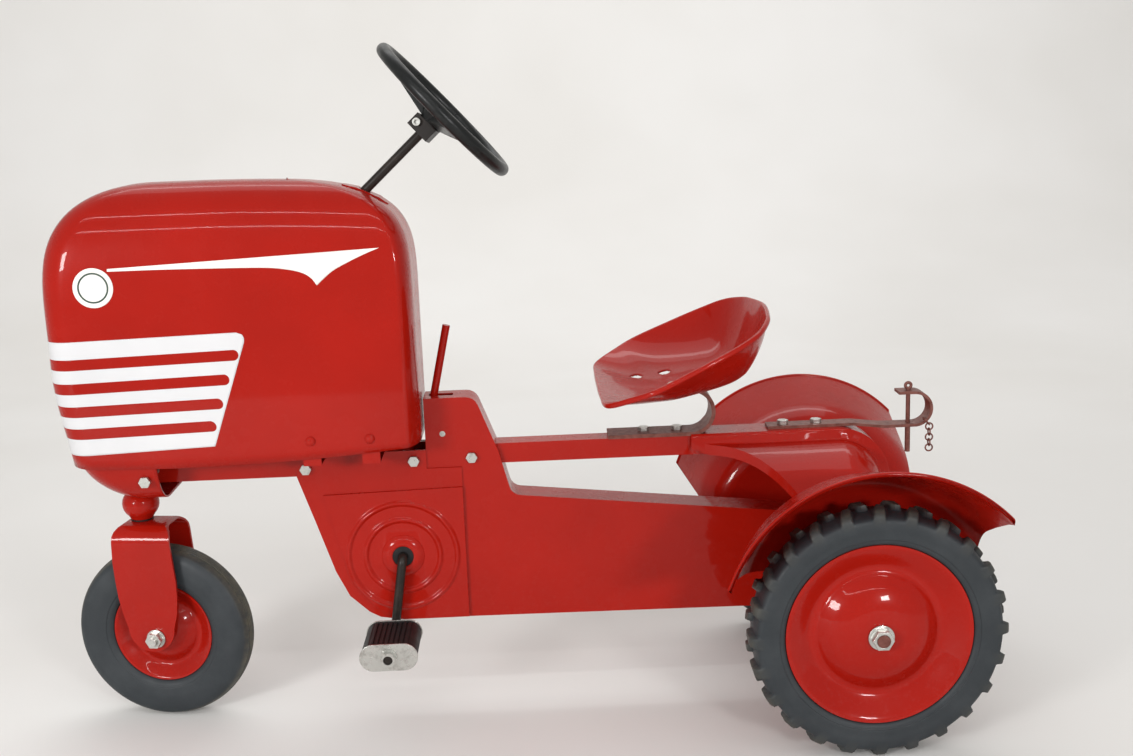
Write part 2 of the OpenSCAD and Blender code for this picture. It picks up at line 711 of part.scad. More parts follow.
module front_tyre() {
    r0 = front_rim_d / 2;
    w = front_tyre_w / 2;
    half = [[r0 - 11, 1], [r0 - 6, 4.6], [r0 - 2.4, 8.6], [r0 + 0.5, 9.6], [r0 + 0.7, 12.6], [r0 + 4, 15],
        [r0 + 12, w - 0.6], [r0 + 20, w], [front_r - 10, w - 0.8], [front_r - 4, w - 4],
        [front_r - 1.6, w - 8]];
    color(rubber) steered() translate([-trail, 0, front_r]) y_turn() difference() {
        union() {
            polygon(concat(half, [[front_r - 0.6, w - 10], [front_r, 2], [front_r, -2], [front_r - 0.6, 10 - w]],
                [for (i = [len(half) - 1 : -1 : 0]) [half[i][0], -half[i][1]]]));
        }
        for (y = [-6, -3, 0, 3, 6]) translate([front_r - 1.4, y - 0.6]) square([3, 1.2]);
    }
}

// Steering column and wheel. The column's own frame has Z up along it, and its zero where
// the bent lower end starts.
crank_pin_d = 8;
bend_t = arm_reach;
bend_at = [head_x - 0.3244 * bend_t, arm_z + cos(column_angle) * bend_t];
wheel_l = 444;
module at_column() {
    translate([bend_at[0], 0, bend_at[1]]) rotate([0, column_angle - 90, 0])
        rotate([0, 0, -rest_steer]) children();
}

module steering_column() {
    color(black_steel) on_origin() at_column() {
        cylinder(d = column_d, h = hub_l + 10);
        sphere(d = column_d);
        rotate([0, -90, 0]) cylinder(d = crank_pin_d, h = arm_reach / cos(35) + 4.5);
    }
}

hub_l = wheel_l - 19.3;
clamp_t = 15;
clamp_gap = 1.2;
clamp_bolt_d = 4;

module steering_wheel() {
    color(black_steel) on_origin() at_column() difference() {
        union() {
            translate([0, 0, wheel_l]) rotate_extrude($fn = 96)
                translate([steering_wheel_d / 2, 0]) circle(d = steering_rim_d, $fn = 32);
            translate([0, 0, hub_l]) cylinder(d1 = 25, d2 = 36, h = 9);
            translate([0, 0, hub_l + 8.9]) cylinder(d1 = 36, d2 = 26, h = 5);
            for (i = [0 : 2]) rotate([0, 0, 120 * i]) spoke();
        }
        translate([0, 0, hub_l - 1]) cylinder(d = column_d, h = 11);
    }
}

// A spoke that rises from the hub to the rim
module spoke() {
    out = steering_wheel_d / 2 - 2;
    translate([0, 8, 0]) rotate([90, 0, 0]) linear_extrude(16)
        polygon([[8, hub_l + 1], [13, hub_l + 1.5], [out, wheel_l - 4.5], [out, wheel_l + 2],
            [15, hub_l + 10], [8, hub_l + 10]]);
}

module wheel_clamp() {
    color(black_steel) on_origin() at_column() translate([0, 0, hub_l - clamp_t]) difference() {
        translate([-11, -10, 0]) cube([26, 20, clamp_t]);
        translate([0, 0, -1]) cylinder(d = column_d, h = 20);
        translate([3, -clamp_gap / 2, -1]) cube([20, clamp_gap, 20]);
        translate([8.6, 0, clamp_t / 2]) y_rod(clamp_bolt_d + 0.2, -20, 20);
    }
}

module clamp_bolt() {
    color(zinc) on_origin() at_column() translate([8.6, 0, hub_l - clamp_t / 2]) difference() {
        union() {
            y_rod(clamp_bolt_d, -13.4, 10);
            y_rod(8, 10, 14);
            translate([0, -10, 0]) rotate([90, 0, 0]) hex(7, 3);
        }
        translate([0, 11.6, 0]) rotate([-90, 0, 0]) hex(4, 4);
    }
}

// Plate on the hood round the column, pressed to the hood's own curve
plate_l = 46;
plate_w = 24;
plate_x = head_x - 257;
plate_gap = 0.15;
column_plate_t = 1.4;

module column_plate() {
    color(enamel) on_origin() difference() {
        intersection() {
            translate([plate_x, 0, hood_z]) linear_extrude(hood_top_z) {
                square([plate_l - plate_w, plate_w], center = true);
                for (x = [-1, 1]) translate([x * (plate_l - plate_w) / 2, 0]) circle(d = plate_w);
            }
            difference() {
                ring_solid(hood_rings(-plate_gap - column_plate_t, hood_z));
                ring_solid(hood_rings(-plate_gap, hood_z - 1));
            }
        }
        at_column() translate([0, 0, 280]) cylinder(d = column_d + 2.4, h = 110, $fn = 32);
    }
}

// Bracket from the front rail to the column
module column_bracket() {
    reach = (bend_at[0] - column_bracket_x) / cos(column_angle);
    color(enamel) on_origin() difference() {
        union() {
            translate([column_bracket_x - 1.5, -half_w + sheet, front_rail_z + sheet])
                cube([3, chassis_w - 2 * sheet, 118]);
            translate([column_bracket_x - 16, -half_w + sheet, front_rail_z + sheet])
                cube([32, chassis_w - 2 * sheet, 2]);
            at_column() translate([0, 0, reach - 9]) cylinder(d = 20, h = 18);
        }
        at_column() translate([0, 0, reach - 30]) cylinder(d = column_d + 2 * run_gap, h = 60);
    }
}

// Cranks: one bent rod through the gear case

arm_y = 31.5;
spindle_y = arm_y + 77;
left_pedal = [crank_x + crank_throw * sin(crank_angle), crank_z - crank_throw * cos(crank_angle)];
right_pedal = [2 * crank_x - left_pedal[0], 2 * crank_z - left_pedal[1]];

module rod_between(a, b, d) {
    step = b - a;
    translate(a) rotate([0, acos(step[2] / norm(step)), atan2(step[1], step[0])])
        cylinder(d = d, h = norm(step));
}

bend_r = 6.5;

// A quarter bend from +Y toward +Z, starting at the origin
module quarter_bend(d) {
    translate([0, 0, bend_r]) rotate([0, 90, 0]) rotate_extrude(angle = 90, $fn = 48)
        translate([bend_r, 0]) circle(d = d, $fn = 48);
}

// One crank, from the middle plane out to the end of its pedal spindle, arm up
module crank_half() {
    y_rod(crank_d, 0, arm_y - bend_r);
    translate([0, arm_y - bend_r, 0]) quarter_bend(crank_d);
    translate([0, arm_y, bend_r]) cylinder(d = crank_d, h = crank_throw - 2 * bend_r);
    translate([0, arm_y + bend_r, crank_throw]) rotate([180, 0, 0]) quarter_bend(crank_d);
    translate([0, 0, crank_throw]) y_rod(crank_d, arm_y + bend_r, spindle_y);
}

module crankshaft() {
    color(black_steel) on_origin() translate([crank_x, 0, crank_z]) {
        rotate([0, 180 - crank_angle, 0]) crank_half();
        rotate([0, -crank_angle, 0]) mirror([0, 1, 0]) crank_half();
    }
}

module crank_bearings() {
    color(nylon) on_origin() translate([crank_x, 0, crank_z]) for (side = [-1, 1]) on_side(side)
        difference() {
            union() {
                y_rod(bearing_d, case_inner_y - 1, case_outer_y + 5);
                y_rod(27, case_inner_y - 2.5, case_inner_y - 1 + 1);
            }
            y_rod(crank_d + 2 * run_gap, 0, 60);
        }
}

// Chain wheels

gear_y = 9;
gear_t = 3;
roller_d = 7.9;
function pitch_r(teeth) = chain_pitch / 2 / sin(180 / teeth);

module gear(teeth, bore, hub_d, y) {
    translate([0, y, 0]) difference() {
        union() {
            y_plate(-gear_t / 2, gear_t / 2) difference() {
                circle(r = pitch_r(teeth) + 3.2, $fn = 96);
                for (i = [0 : teeth - 1]) rotate(i * 360 / teeth)
                    translate([pitch_r(teeth), 0]) circle(d = roller_d + 0.3, $fn = 24);
                for (i = [0 : teeth - 1]) rotate(i * 360 / teeth)
                    translate([pitch_r(teeth) + 4, 0]) circle(d = roller_d, $fn = 24);
            }
            y_rod(hub_d, -gear_t / 2 - 1.4, gear_t / 2 + 1.4);
        }
        y_rod(bore, -20, 20);
    }
}

module crank_sprocket_low() {
    color(bare_steel) on_origin() translate([crank_x, 0, crank_z]) difference() {
        gear(low_crank_teeth, crank_d, 24, gear_y);
        for (a = [0, 180]) rotate([0, a, 0]) translate([8.6, 0, 0]) y_rod(4.2, 0, 20);
    }
}

module crank_sprocket_high() {
    color(bare_steel) on_origin() translate([crank_x, 0, crank_z])
        gear(high_crank_teeth, crank_d + 2 * run_gap, 26, -gear_y);
}

module axle_sprockets() {
    color(bare_steel) on_origin() translate([0, 0, axle_z]) {
        gear(low_axle_teeth, axle_d, 24, gear_y);
        gear(high_axle_teeth, axle_d, 24, -gear_y);
    }
}

// Outline of a belt at a distance from two pitch circles
function belt(c0, r0, c1, r1, d) =
    let(run = norm(c1 - c0), tilt = atan2(c1[1] - c0[1], c1[0] - c0[0]), lean = asin((r0 - r1) / run))
    concat(arc(c0, r0 + d, tilt + 90 - lean, tilt + 270 + lean, 20),
        arc(c1, r1 + d, tilt - 90 + lean, tilt + 90 - lean, 24));

// Side plates all round, with pins and rollers on the two straight runs
module chain(axle_teeth, crank_teeth, y) {
    a = [0, axle_z];
    c = [crank_x, crank_z];
    ra = pitch_r(axle_teeth);
    rc = pitch_r(crank_teeth);
    run = norm(c - a);
    tilt = atan2(c[1] - a[1], c[0] - a[0]);
    lean = asin((rc - ra) / run);
    straight = run * cos(lean);
    links = floor(straight / chain_pitch) - 3;
    color(bare_steel) on_origin() translate([0, y, 0]) {
        for (side = [-1, 1]) on_side(side) y_plate(2.4, 3.4) difference() {
            polygon(belt(a, ra, c, rc, 3.6));
            polygon(belt(a, ra, c, rc, -3.6));
        }
        for (up = [-1, 1]) for (i = [1 : links]) {
            along = tilt + up * lean;
            out = along + up * 90;
            p = a + ra * [cos(out), sin(out)] + (chain_pitch * i + (straight - links * chain_pitch) / 2
                - chain_pitch / 2) * [cos(along), sin(along)];
            translate([p[0], 0, p[1]]) {
                y_rod(roller_d * 0.9, -2.5, 2.5);
            }
        }
    }
}

module drive_dog() {
    color(bare_steel) on_origin() translate([crank_x, 2.2, crank_z]) difference() {
        union() {
            y_rod(24, -3.8, 3.8);
            for (a = [0, 180]) rotate([0, a, 0]) translate([8.6, 0, 0]) {
                y_rod(3.8, 3.7, 5.2);
                y_rod(3.8, -4.6, -3.7);
            }
        }
        y_rod(crank_d + 2 * run_gap, -10, 10);
        difference() {
            y_rod(30, -1.9, 1.9);
            y_rod(18, -2, 2);
        }
    }
}

// Gear change: lever, cam plate, sliding fork and the two cross pins

cam_z = 241;
cam_t = 3;
cam_run = 13.9;
dog_run = 2.6;
pin_r = 2.5;

module shift_lever() {
    top = [lever_pivot[0] - 9, 0, 411];
    foot = [lever_pivot[0] + 10.5, 0, 326];
    pivot = [lever_pivot[0], 0, lever_pivot[1]];
    color(enamel) on_origin() difference() {
        union() {
            rod_between(foot, top, 8);
            y_plate(-3, 3) polygon([for (p = [[-5, lever_pivot[1] + 3], [4, 332], [14, 332],
                [6, lever_pivot[1] - 2], [-12, cam_z + 1], [-20, cam_z + 1]]) [lever_pivot[0] + p[0], p[1]]]);
            translate(pivot) y_rod(14, -9, 9);
            translate([lever_pivot[0] - 22, -10, cam_z]) cube([44, 20, cam_t]);
        }
        translate(pivot) y_rod(rod_hole_d + 2 * run_gap, -20, 20);
        // The slanted slot moves the fork's pin sideways as the plate runs forward
        translate([0, 0, cam_z - 4]) linear_extrude(10)
            slot([guide_at[0], 2.2], [guide_at[0] - cam_run, 2.2 - dog_run], 2 * pin_r + 1.5);
    }
}

module shift_fork() {
    y0 = 2.2;
    color(bare_steel) on_origin() difference() {
        union() {
            translate([0, y0, 0]) y_plate(-1.5, 1.5) difference() {
                union() {
                    translate([crank_x, crank_z]) circle(r = 17);
                    polygon([[crank_x - 17, crank_z], [crank_x + 2, crank_z + 17],
                        [guide_at[0] + 6, guide_at[1] + 3], [guide_at[0] - 6, guide_at[1] - 4]]);
                }
                translate([crank_x, crank_z]) circle(r = 9.4);
                translate([crank_x - 9.4, crank_z - 40]) square([18.8, 40]);
            }
            translate([guide_at[0], y0, guide_at[1]]) y_rod(12, -7, 7);
            translate([guide_at[0], y0, guide_at[1]]) cylinder(r = pin_r, h = cam_z + 6 - guide_at[1]);
        }
        translate([guide_at[0], 0, guide_at[1]]) y_rod(rod_hole_d + 2 * run_gap, -20, 20);
    }
}

module shift_pins() {
    color(zinc) on_origin() for (at = [lever_pivot, guide_at])
        translate([at[0], 0, at[1]]) y_rod(rod_hole_d, -half_w, half_w);
}

// Pedals: a ribbed rubber block between two plates

plate_t = 1.6;
pedal_y = arm_y + bend_r + 0.2;

// A bar with round ends
module bar_outline(w, t) {
    square([w - t, t], center = true);
    for (side = [-1, 1]) translate([side * (w - t) / 2, 0]) circle(d = t, $fn = 48);
}

module at_pedal(side) {
    at = side > 0 ? left_pedal : right_pedal;
    on_origin() translate([at[0], 0, at[1]]) on_side(side) children();
}

module pedal(side) {
    y0 = pedal_y + plate_t;
    rib = 5;
    color(rubber) at_pedal(side) difference() {
        y_plate(y0, y0 + pedal_l) bar_outline(pedal_w, pedal_t);
        y_rod(crank_d + 2 * run_gap, 0, 140);
        for (face = [-1, 1]) for (i = [-4 : 4]) translate([i * rib - 0.9, y0 + 3, face * pedal_t / 2 - 1.4])
            cube([1.8, pedal_l - 6, 2.8]);
    }
}

module pedal_plates(side) {
    color(zinc) at_pedal(side) for (y = [pedal_y, pedal_y + plate_t + pedal_l]) difference() {
        y_plate(y, y + plate_t) bar_outline(pedal_w + 2, pedal_t + 1.6);
        y_rod(crank_d + 2 * run_gap, 0, 140);
    }
}

module pedal_nuts() {
    y0 = pedal_y + 2 * plate_t + pedal_l + seat_gap;
    color(zinc) for (side = [-1, 1]) at_pedal(side) difference() {
        union() {
            y_rod(18, y0, y0 + 1.2);
            translate([0, y0 + 1.2, 0]) rotate([-90, 0, 0]) hex(14, 6);
        }
        y_rod(crank_d, 0, 140);
    }
}

// Rear axle and wheels

hub_end_y = tyre_y + rear_tyre_w / 2;
rear_hub_d = 20;
rim_face_y = 21.9;

module rear_axle() {
    color(bare_steel) on_origin() translate([0, 0, axle_z])
        y_rod(axle_d, -hub_end_y - 11, hub_end_y + 11);
}

module axle_bearings() {
    color(nylon) on_origin() translate([0, 0, axle_z]) for (side = [-1, 1]) on_side(side) difference() {
        union() {
            y_rod(axle_bearing_d, half_w - 3, half_w + 3);
            y_rod(26, half_w, half_w + 2);
        }
        y_rod(axle_d + 2 * run_gap, 0, 60);
    }
}

module axle_sleeves() {
    color(bare_steel) on_origin() translate([0, 0, axle_z]) for (side = [-1, 1]) on_side(side) difference() {
        y_rod(19, half_w + 3 + seat_gap, tyre_y - 20.4);
        y_rod(axle_d, 0, 200);
    }
}

module rear_rim(side) {
    bore = side > 0 ? axle_d : axle_d + 2 * run_gap;
    color(enamel) on_origin() translate([0, 0, axle_z]) on_side(side) translate([0, tyre_y, 0]) {
        for (face = [-1, 1]) on_side(face) y_turn()
            disc_profile(rear_hub_d / 2, rear_rim_d / 180, 1);
        difference() {
            y_rod(rear_hub_d, -20, 20);
            y_rod(bore, -30, 30);
        }
    }
}

module rear_tyre(side) {
    r0 = rear_rim_d / 2;
    w = rear_tyre_w / 2;
    wall = [[r0 - 17, 1.2], [r0 - 10, 8.6], [r0 - 4, 12.6], [r0 + 0.5, 14.6], [r0 + 0.7, 17.8], [r0 + 4, 20],
        [r0 + 12, w - 0.8],
        [r0 + 18, w], [rear_r - 11, w - 0.6]];
    base = concat(wall, [[rear_r - 8, w - 3], [rear_r - 6, w - 10], [rear_r - 5, 0]]);
    crown = concat(wall, [[rear_r - 5, w - 1.6], [rear_r - 1.4, w - 5], [rear_r, w - 10], [rear_r, 0]]);
    color(rubber) on_origin() translate([0, 0, axle_z]) on_side(side) translate([0, tyre_y, 0]) {
        for (face = [-1, 1]) on_side(face) y_turn() polygon(concat(base, [[r0 - 17, 0]]));
        // Bars that lean back from the middle to the shoulder, half a step apart
        for (face = [-1, 1]) on_side(face) intersection() {
            y_turn() polygon(concat(crown, [[rear_r - 9, 0]], [[rear_r - 12, w - 4]]));
            for (i = [0 : lug_count - 1]) rotate([0, (i + (face > 0 ? 0 : 0.5)) * 360 / lug_count, 0])
                translate([0, 0, rear_r - 14]) linear_extrude(16) lug_plan(w);
        }
    }
}

// Plan of one lug, seen from outside the tyre
module lug_plan(w) {
    polygon([[-7, -1.5], [2, -1.5], [9, w + 1], [-3, w + 1]]);
}

module hub_nuts() {
    color(zinc) on_origin() translate([0, 0, axle_z]) for (side = [-1, 1]) on_side(side) difference() {
        union() {
            y_rod(25, tyre_y + rim_face_y, tyre_y + rim_face_y + 2);
            translate([0, tyre_y + rim_face_y + 2, 0]) rotate([-90, 0, 0]) hex(18, 8.5);
        }
        y_rod(axle_d, 0, 300);
    }
}

// Seat

spring_w = 32;
spring_r = 25.3;
spring_x = 157;
leaf_lean = 9.6;
leaf_l = 30;
leaf_bolt = 12;

// A place on the leaf under the seat, Z square to it
module at_leaf(run) {
    translate([spring_x, 0, seat_rail_top + spring_r]) rotate([0, leaf_lean, 0]) translate([run, 0, spring_r])
        children();
}

module seat_spring() {
    color(bare_steel) on_origin() difference() {
        y_plate(-spring_w / 2, spring_w / 2) {
            translate([spring_x - 1, seat_rail_top]) square([245 - spring_x, strap_t]);
            translate([spring_x, seat_rail_top + spring_r]) {
                rotate(-leaf_lean) translate([-1, spring_r - strap_t]) square([leaf_l + 1, strap_t - 0.02]);
                difference() {
                    circle(r = spring_r, $fn = 96);
                    circle(r = spring_r - strap_t, $fn = 96);
                    polygon([[0, 0], [0, -60], [80, -60], [80, 60], 60 * [sin(leaf_lean), cos(leaf_lean)]]);
                }
            }
        }
        for (x = strap_bolt_xs)
            translate([x, 0, seat_rail_top - 1]) cylinder(d = bolt_hole_d, h = strap_t + 2);
        at_leaf(leaf_bolt) translate([0, 0, -10]) cylinder(d = bolt_hole_d, h = 20);
    }
}

seat_front = [255, 344];
seat_n = 7;
seat_m = 36;
// Reach of the rim from the middle of the pan against the angle from straight back
seat_line = [[0, 108], [23, 113], [39, 125], [55, 138.5], [69, 138.5], [87, 138], [102, 144],
    [113, 139.5], [128, 132], [145, 103.5], [180, 85]];
function seat_outline(a) = let(r = lookup(a > 180 ? 360 - a : a, seat_line))
    [r * cos(a) * seat_l / 193, r * sin(a) * seat_w / 282];
function seat_point(a, f, t) =
    let(o = seat_outline(a), u = seat_l * 0.44 + o[0] * f, v = o[1] * f,
        low = seat_depth * min(1.15, 0.42 + 0.0052 * u) * (1 - pow(f, 3)) + t,
        c = cos(seat_tilt), s = sin(seat_tilt))
    [seat_front[0] - u * c - low * s, v, seat_front[1] + u * s - low * c];
function seat_rings(t, edge) = [for (j = [0 : seat_n]) let(f = 1 - j / (seat_n + 0.6))
    [for (i = [0 : seat_m - 1]) seat_point(5 + 360 * i / seat_m, f - (j == 0 ? edge : 0), t)]];

module seat_pan() {
    outer = seat_rings(2, 0);
    inner = seat_rings(0, 0);
    n = seat_n + 1;
    m = seat_m;
    k = n * m;
    color(enamel) on_origin() difference() {
        polyhedron(points = concat([for (r = outer) each r], [for (r = inner) each r]),
            faces = concat(
            [for (j = [0 : n - 2]) for (i = [0 : m - 1]) each let(a = j * m + i, b = j * m + (i + 1) % m)
                [[a, b + m, a + m], [a, b, b + m]]],
            [for (j = [0 : n - 2]) for (i = [0 : m - 1]) each let(a = k + j * m + i,
                b = k + j * m + (i + 1) % m) [[a, a + m, b + m], [a, b + m, b]]],
            [for (i = [0 : m - 1]) each let(b = (i + 1) % m) [[i, k + b, b], [i, k + i, k + b]]],
            [[for (i = [0 : m - 1]) (n - 1) * m + i]],
            [[for (i = [m - 1 : -1 : 0]) k + (n - 1) * m + i]]));
        for (v = [-44, 0, 44]) translate([224, v, 300]) cylinder(d = 13, h = 60, $fn = 24);
        at_leaf(leaf_bolt) cylinder(d = bolt_hole_d, h = 40);
    }
}

module seat_bolt() {
    at_leaf(leaf_bolt) {
        translate([0, 0, -strap_t - 5]) hex(10.5, 5);
        translate([0, 0, -strap_t - 7]) cylinder(d = bolt_d, h = strap_t + 10);
        translate([0, 0, 2.9]) hex(10.5, 3.5);
    }
}

// Hitch: a strap that bends down and folds back over itself, with its pin and chain

hitch_low_z = 284;
hitch_r = 19;
hitch_x = -79;
pin_x = -74;
pin_low_z = 255;
pin_neck_d = hitch_pin_d - 1;
eye_room = 0.8;
hitch_top_z = hitch_low_z + 2 * hitch_r;

link_wire = 1.6;
chain_hole_y = 6;
chain_lean = [cos(229), sin(229)];
function chain_hole() = [hitch_x, hitch_low_z + hitch_r] + (hitch_r - drawbar_t / 2) * chain_lean;

module drawbar() {
    top = cover_z;
    color(bare_steel) on_origin() difference() {
        y_plate(-drawbar_w / 2, drawbar_w / 2) {
            polygon([[76, top], [76, top + drawbar_t], [-14, top + drawbar_t],
                [-46, hitch_low_z + drawbar_t], [hitch_x, hitch_low_z + drawbar_t],
                [hitch_x, hitch_low_z], [-47, hitch_low_z], [-15, top]]);
            translate([hitch_x, hitch_low_z + hitch_r]) difference() {
                circle(r = hitch_r, $fn = 64);
                circle(r = hitch_r - drawbar_t, $fn = 64);
                translate([0, -60]) square([60, 120]);
            }
            translate([hitch_x, hitch_top_z - drawbar_t]) square([17, drawbar_t]);
        }
        for (x = drawbar_bolt_xs) translate([x, 0, top - 1]) cylinder(d = bolt_hole_d, h = drawbar_t + 2);
        translate([pin_x, 0, hitch_low_z - 5]) cylinder(d = hitch_pin_d + 2 * run_gap, h = 60);
        translate([chain_hole()[0], chain_hole_y, chain_hole()[1]]) rotate([0, -atan2(chain_lean[1],
            chain_lean[0]), 0]) rotate([0, 90, 0]) translate([0, 0, -4]) cylinder(d = 3.2, h = 8);
    }
}

module hitch_pin() {
    eye = [3, 3.2];
    color(bare_steel) on_origin() translate([pin_x, 0, 0]) union() {
        translate([0, 0, pin_low_z]) cylinder(d = hitch_pin_d, h = hitch_low_z - eye_room - pin_low_z);
        translate([0, 0, pin_low_z]) cylinder(d = pin_neck_d, h = hitch_top_z + 1.6 - pin_low_z);
        translate([0, 0, hitch_top_z + eye[0] + eye[1] / 2]) y_turn()
            translate([eye[0], 0]) circle(d = eye[1], $fn = 24);
    }
}

// A short chain: its first link hangs in a hole near the strap's edge
module ring(r) {
    rotate_extrude($fn = 32) translate([r, 0]) circle(d = link_wire, $fn = 16);
}

module hitch_chain() {
    first_r = 5;
    link_r = 3.7;
    at = chain_hole();
    low = at + first_r * chain_lean;
    color(bare_steel) on_origin() {
        translate([at[0], chain_hole_y + first_r, at[1]]) rotate([0, -atan2(chain_lean[1], chain_lean[0]), 0])
            ring(first_r);
        for (i = [0 : 4])
            translate([low[0], chain_hole_y + first_r, low[1] + link_wire + 0.1 - link_r
                - i * (2 * link_r - link_wire - 0.1)]) rotate([90, 0, i % 2 ? 90 : 0]) ring(link_r);
    }
}

frame_side(1);  // frame_side_left
frame_side(-1);  // frame_side_right
gearcase(1);  // gearcase_left
gearcase(-1);  // gearcase_right
front_rail();
seat_rail();
rear_cover();
fender(1);  // fender_left
fender(-1);  // fender_right
hood();
hood_brackets();
hood_screws();
nose_pan();
frame_bolts();
column_plate();
column_bracket();
head_tube();
head_bushes();
front_fork();
fork_stem();
fork_nuts();
steering_arm();
front_axle();
front_hub();
front_rim(1);  // front_rim_left
front_rim(-1);  // front_rim_right
front_tyre();
steering_column();
steering_wheel();
wheel_clamp();
clamp_bolt();
crankshaft();
crank_bearings();
crank_sprocket_low();
crank_sprocket_high();
drive_dog();
chain(low_axle_teeth, low_crank_teeth, gear_y);  // chain_low
chain(high_axle_teeth, high_crank_teeth, -gear_y);  // chain_high
axle_sprockets();
shift_lever();
shift_fork();
shift_pins();
pedal(1);  // pedal_left
pedal(-1);  // pedal_right
pedal_plates(1);  // pedal_plates_left
pedal_plates(-1);  // pedal_plates_right
pedal_nuts();
rear_axle();
axle_bearings();
axle_sleeves();
hub_nuts();
rear_rim(1);  // rear_rim_left
rear_rim(-1);  // rear_rim_right
rear_tyre(1);  // rear_tyre_left
rear_tyre(-1);  // rear_tyre_right
seat_spring();
seat_pan();
drawbar();
hitch_pin();
hitch_chain();
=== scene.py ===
"""A child's pedal tractor, dressed round its packed construction for a studio picture.

Lengths in the classes are millimetres from the rear axle, X forward, Y to the left and
Z up from the floor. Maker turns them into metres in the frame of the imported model.
"""

from __future__ import annotations

import json
import logging
import math
from dataclasses import dataclass
from enum import Enum

import bmesh
import bpy
import numpy as np
from mathutils import Matrix, Vector

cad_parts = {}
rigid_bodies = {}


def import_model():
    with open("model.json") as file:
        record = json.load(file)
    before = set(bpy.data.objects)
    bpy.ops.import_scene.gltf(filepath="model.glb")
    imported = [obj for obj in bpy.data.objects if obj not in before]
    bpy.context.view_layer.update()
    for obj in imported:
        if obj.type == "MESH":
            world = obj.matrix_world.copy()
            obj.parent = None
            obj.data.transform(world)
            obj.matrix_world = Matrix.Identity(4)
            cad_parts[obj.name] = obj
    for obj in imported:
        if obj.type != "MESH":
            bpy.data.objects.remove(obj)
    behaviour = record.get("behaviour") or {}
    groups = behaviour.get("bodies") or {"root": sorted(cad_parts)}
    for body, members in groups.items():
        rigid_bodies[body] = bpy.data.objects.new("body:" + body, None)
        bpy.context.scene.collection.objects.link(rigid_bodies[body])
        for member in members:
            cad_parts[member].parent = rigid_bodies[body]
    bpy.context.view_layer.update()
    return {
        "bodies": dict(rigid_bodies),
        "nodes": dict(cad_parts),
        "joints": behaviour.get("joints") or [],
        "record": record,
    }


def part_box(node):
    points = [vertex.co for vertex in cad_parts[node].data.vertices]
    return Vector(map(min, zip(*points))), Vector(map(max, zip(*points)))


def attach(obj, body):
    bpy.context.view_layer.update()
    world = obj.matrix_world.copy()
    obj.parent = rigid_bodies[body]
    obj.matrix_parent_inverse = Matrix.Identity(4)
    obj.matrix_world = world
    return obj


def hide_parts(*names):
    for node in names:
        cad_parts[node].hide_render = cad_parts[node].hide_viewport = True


log = logging.getLogger("tractor")

Span = tuple[float, float]
Triple = tuple[float, float, float]
Socket = bpy.types.NodeSocket

MM = 0.001
MERGE_M = 2e-6
SLIVER_M = 1e-7
FLAT_DEGREES = 0.4
TURN = 2 * math.pi


class Side(Enum):
    """The side of the tractor that a piece is on, as the sign of its Y."""

    LEFT = 1
    RIGHT = -1


def new_object(name: str, data: bpy.types.ID) -> bpy.types.Object:
    """Make an object and put it in the scene.

    Args:
        name: The object's name.
        data: Its mesh, lamp or camera.

    Returns:
        The new object.
    """
    obj = bpy.data.objects.new(name, data)
    bpy.context.scene.collection.objects.link(obj)
    return obj


# Finishes


@dataclass(frozen=True)
class Noise:
    """A noise texture in the object's own coordinates, and the span of its values in use."""

    scale: float
    detail: float = 4.0
    rough: float = 0.55
    span: Span = (0.3, 0.7)


@dataclass(frozen=True)
class Relief:
    """A fine relief: its noise, its depth in metres and the share of its tilt."""

    noise: Noise
    depth: float
    tilt: float


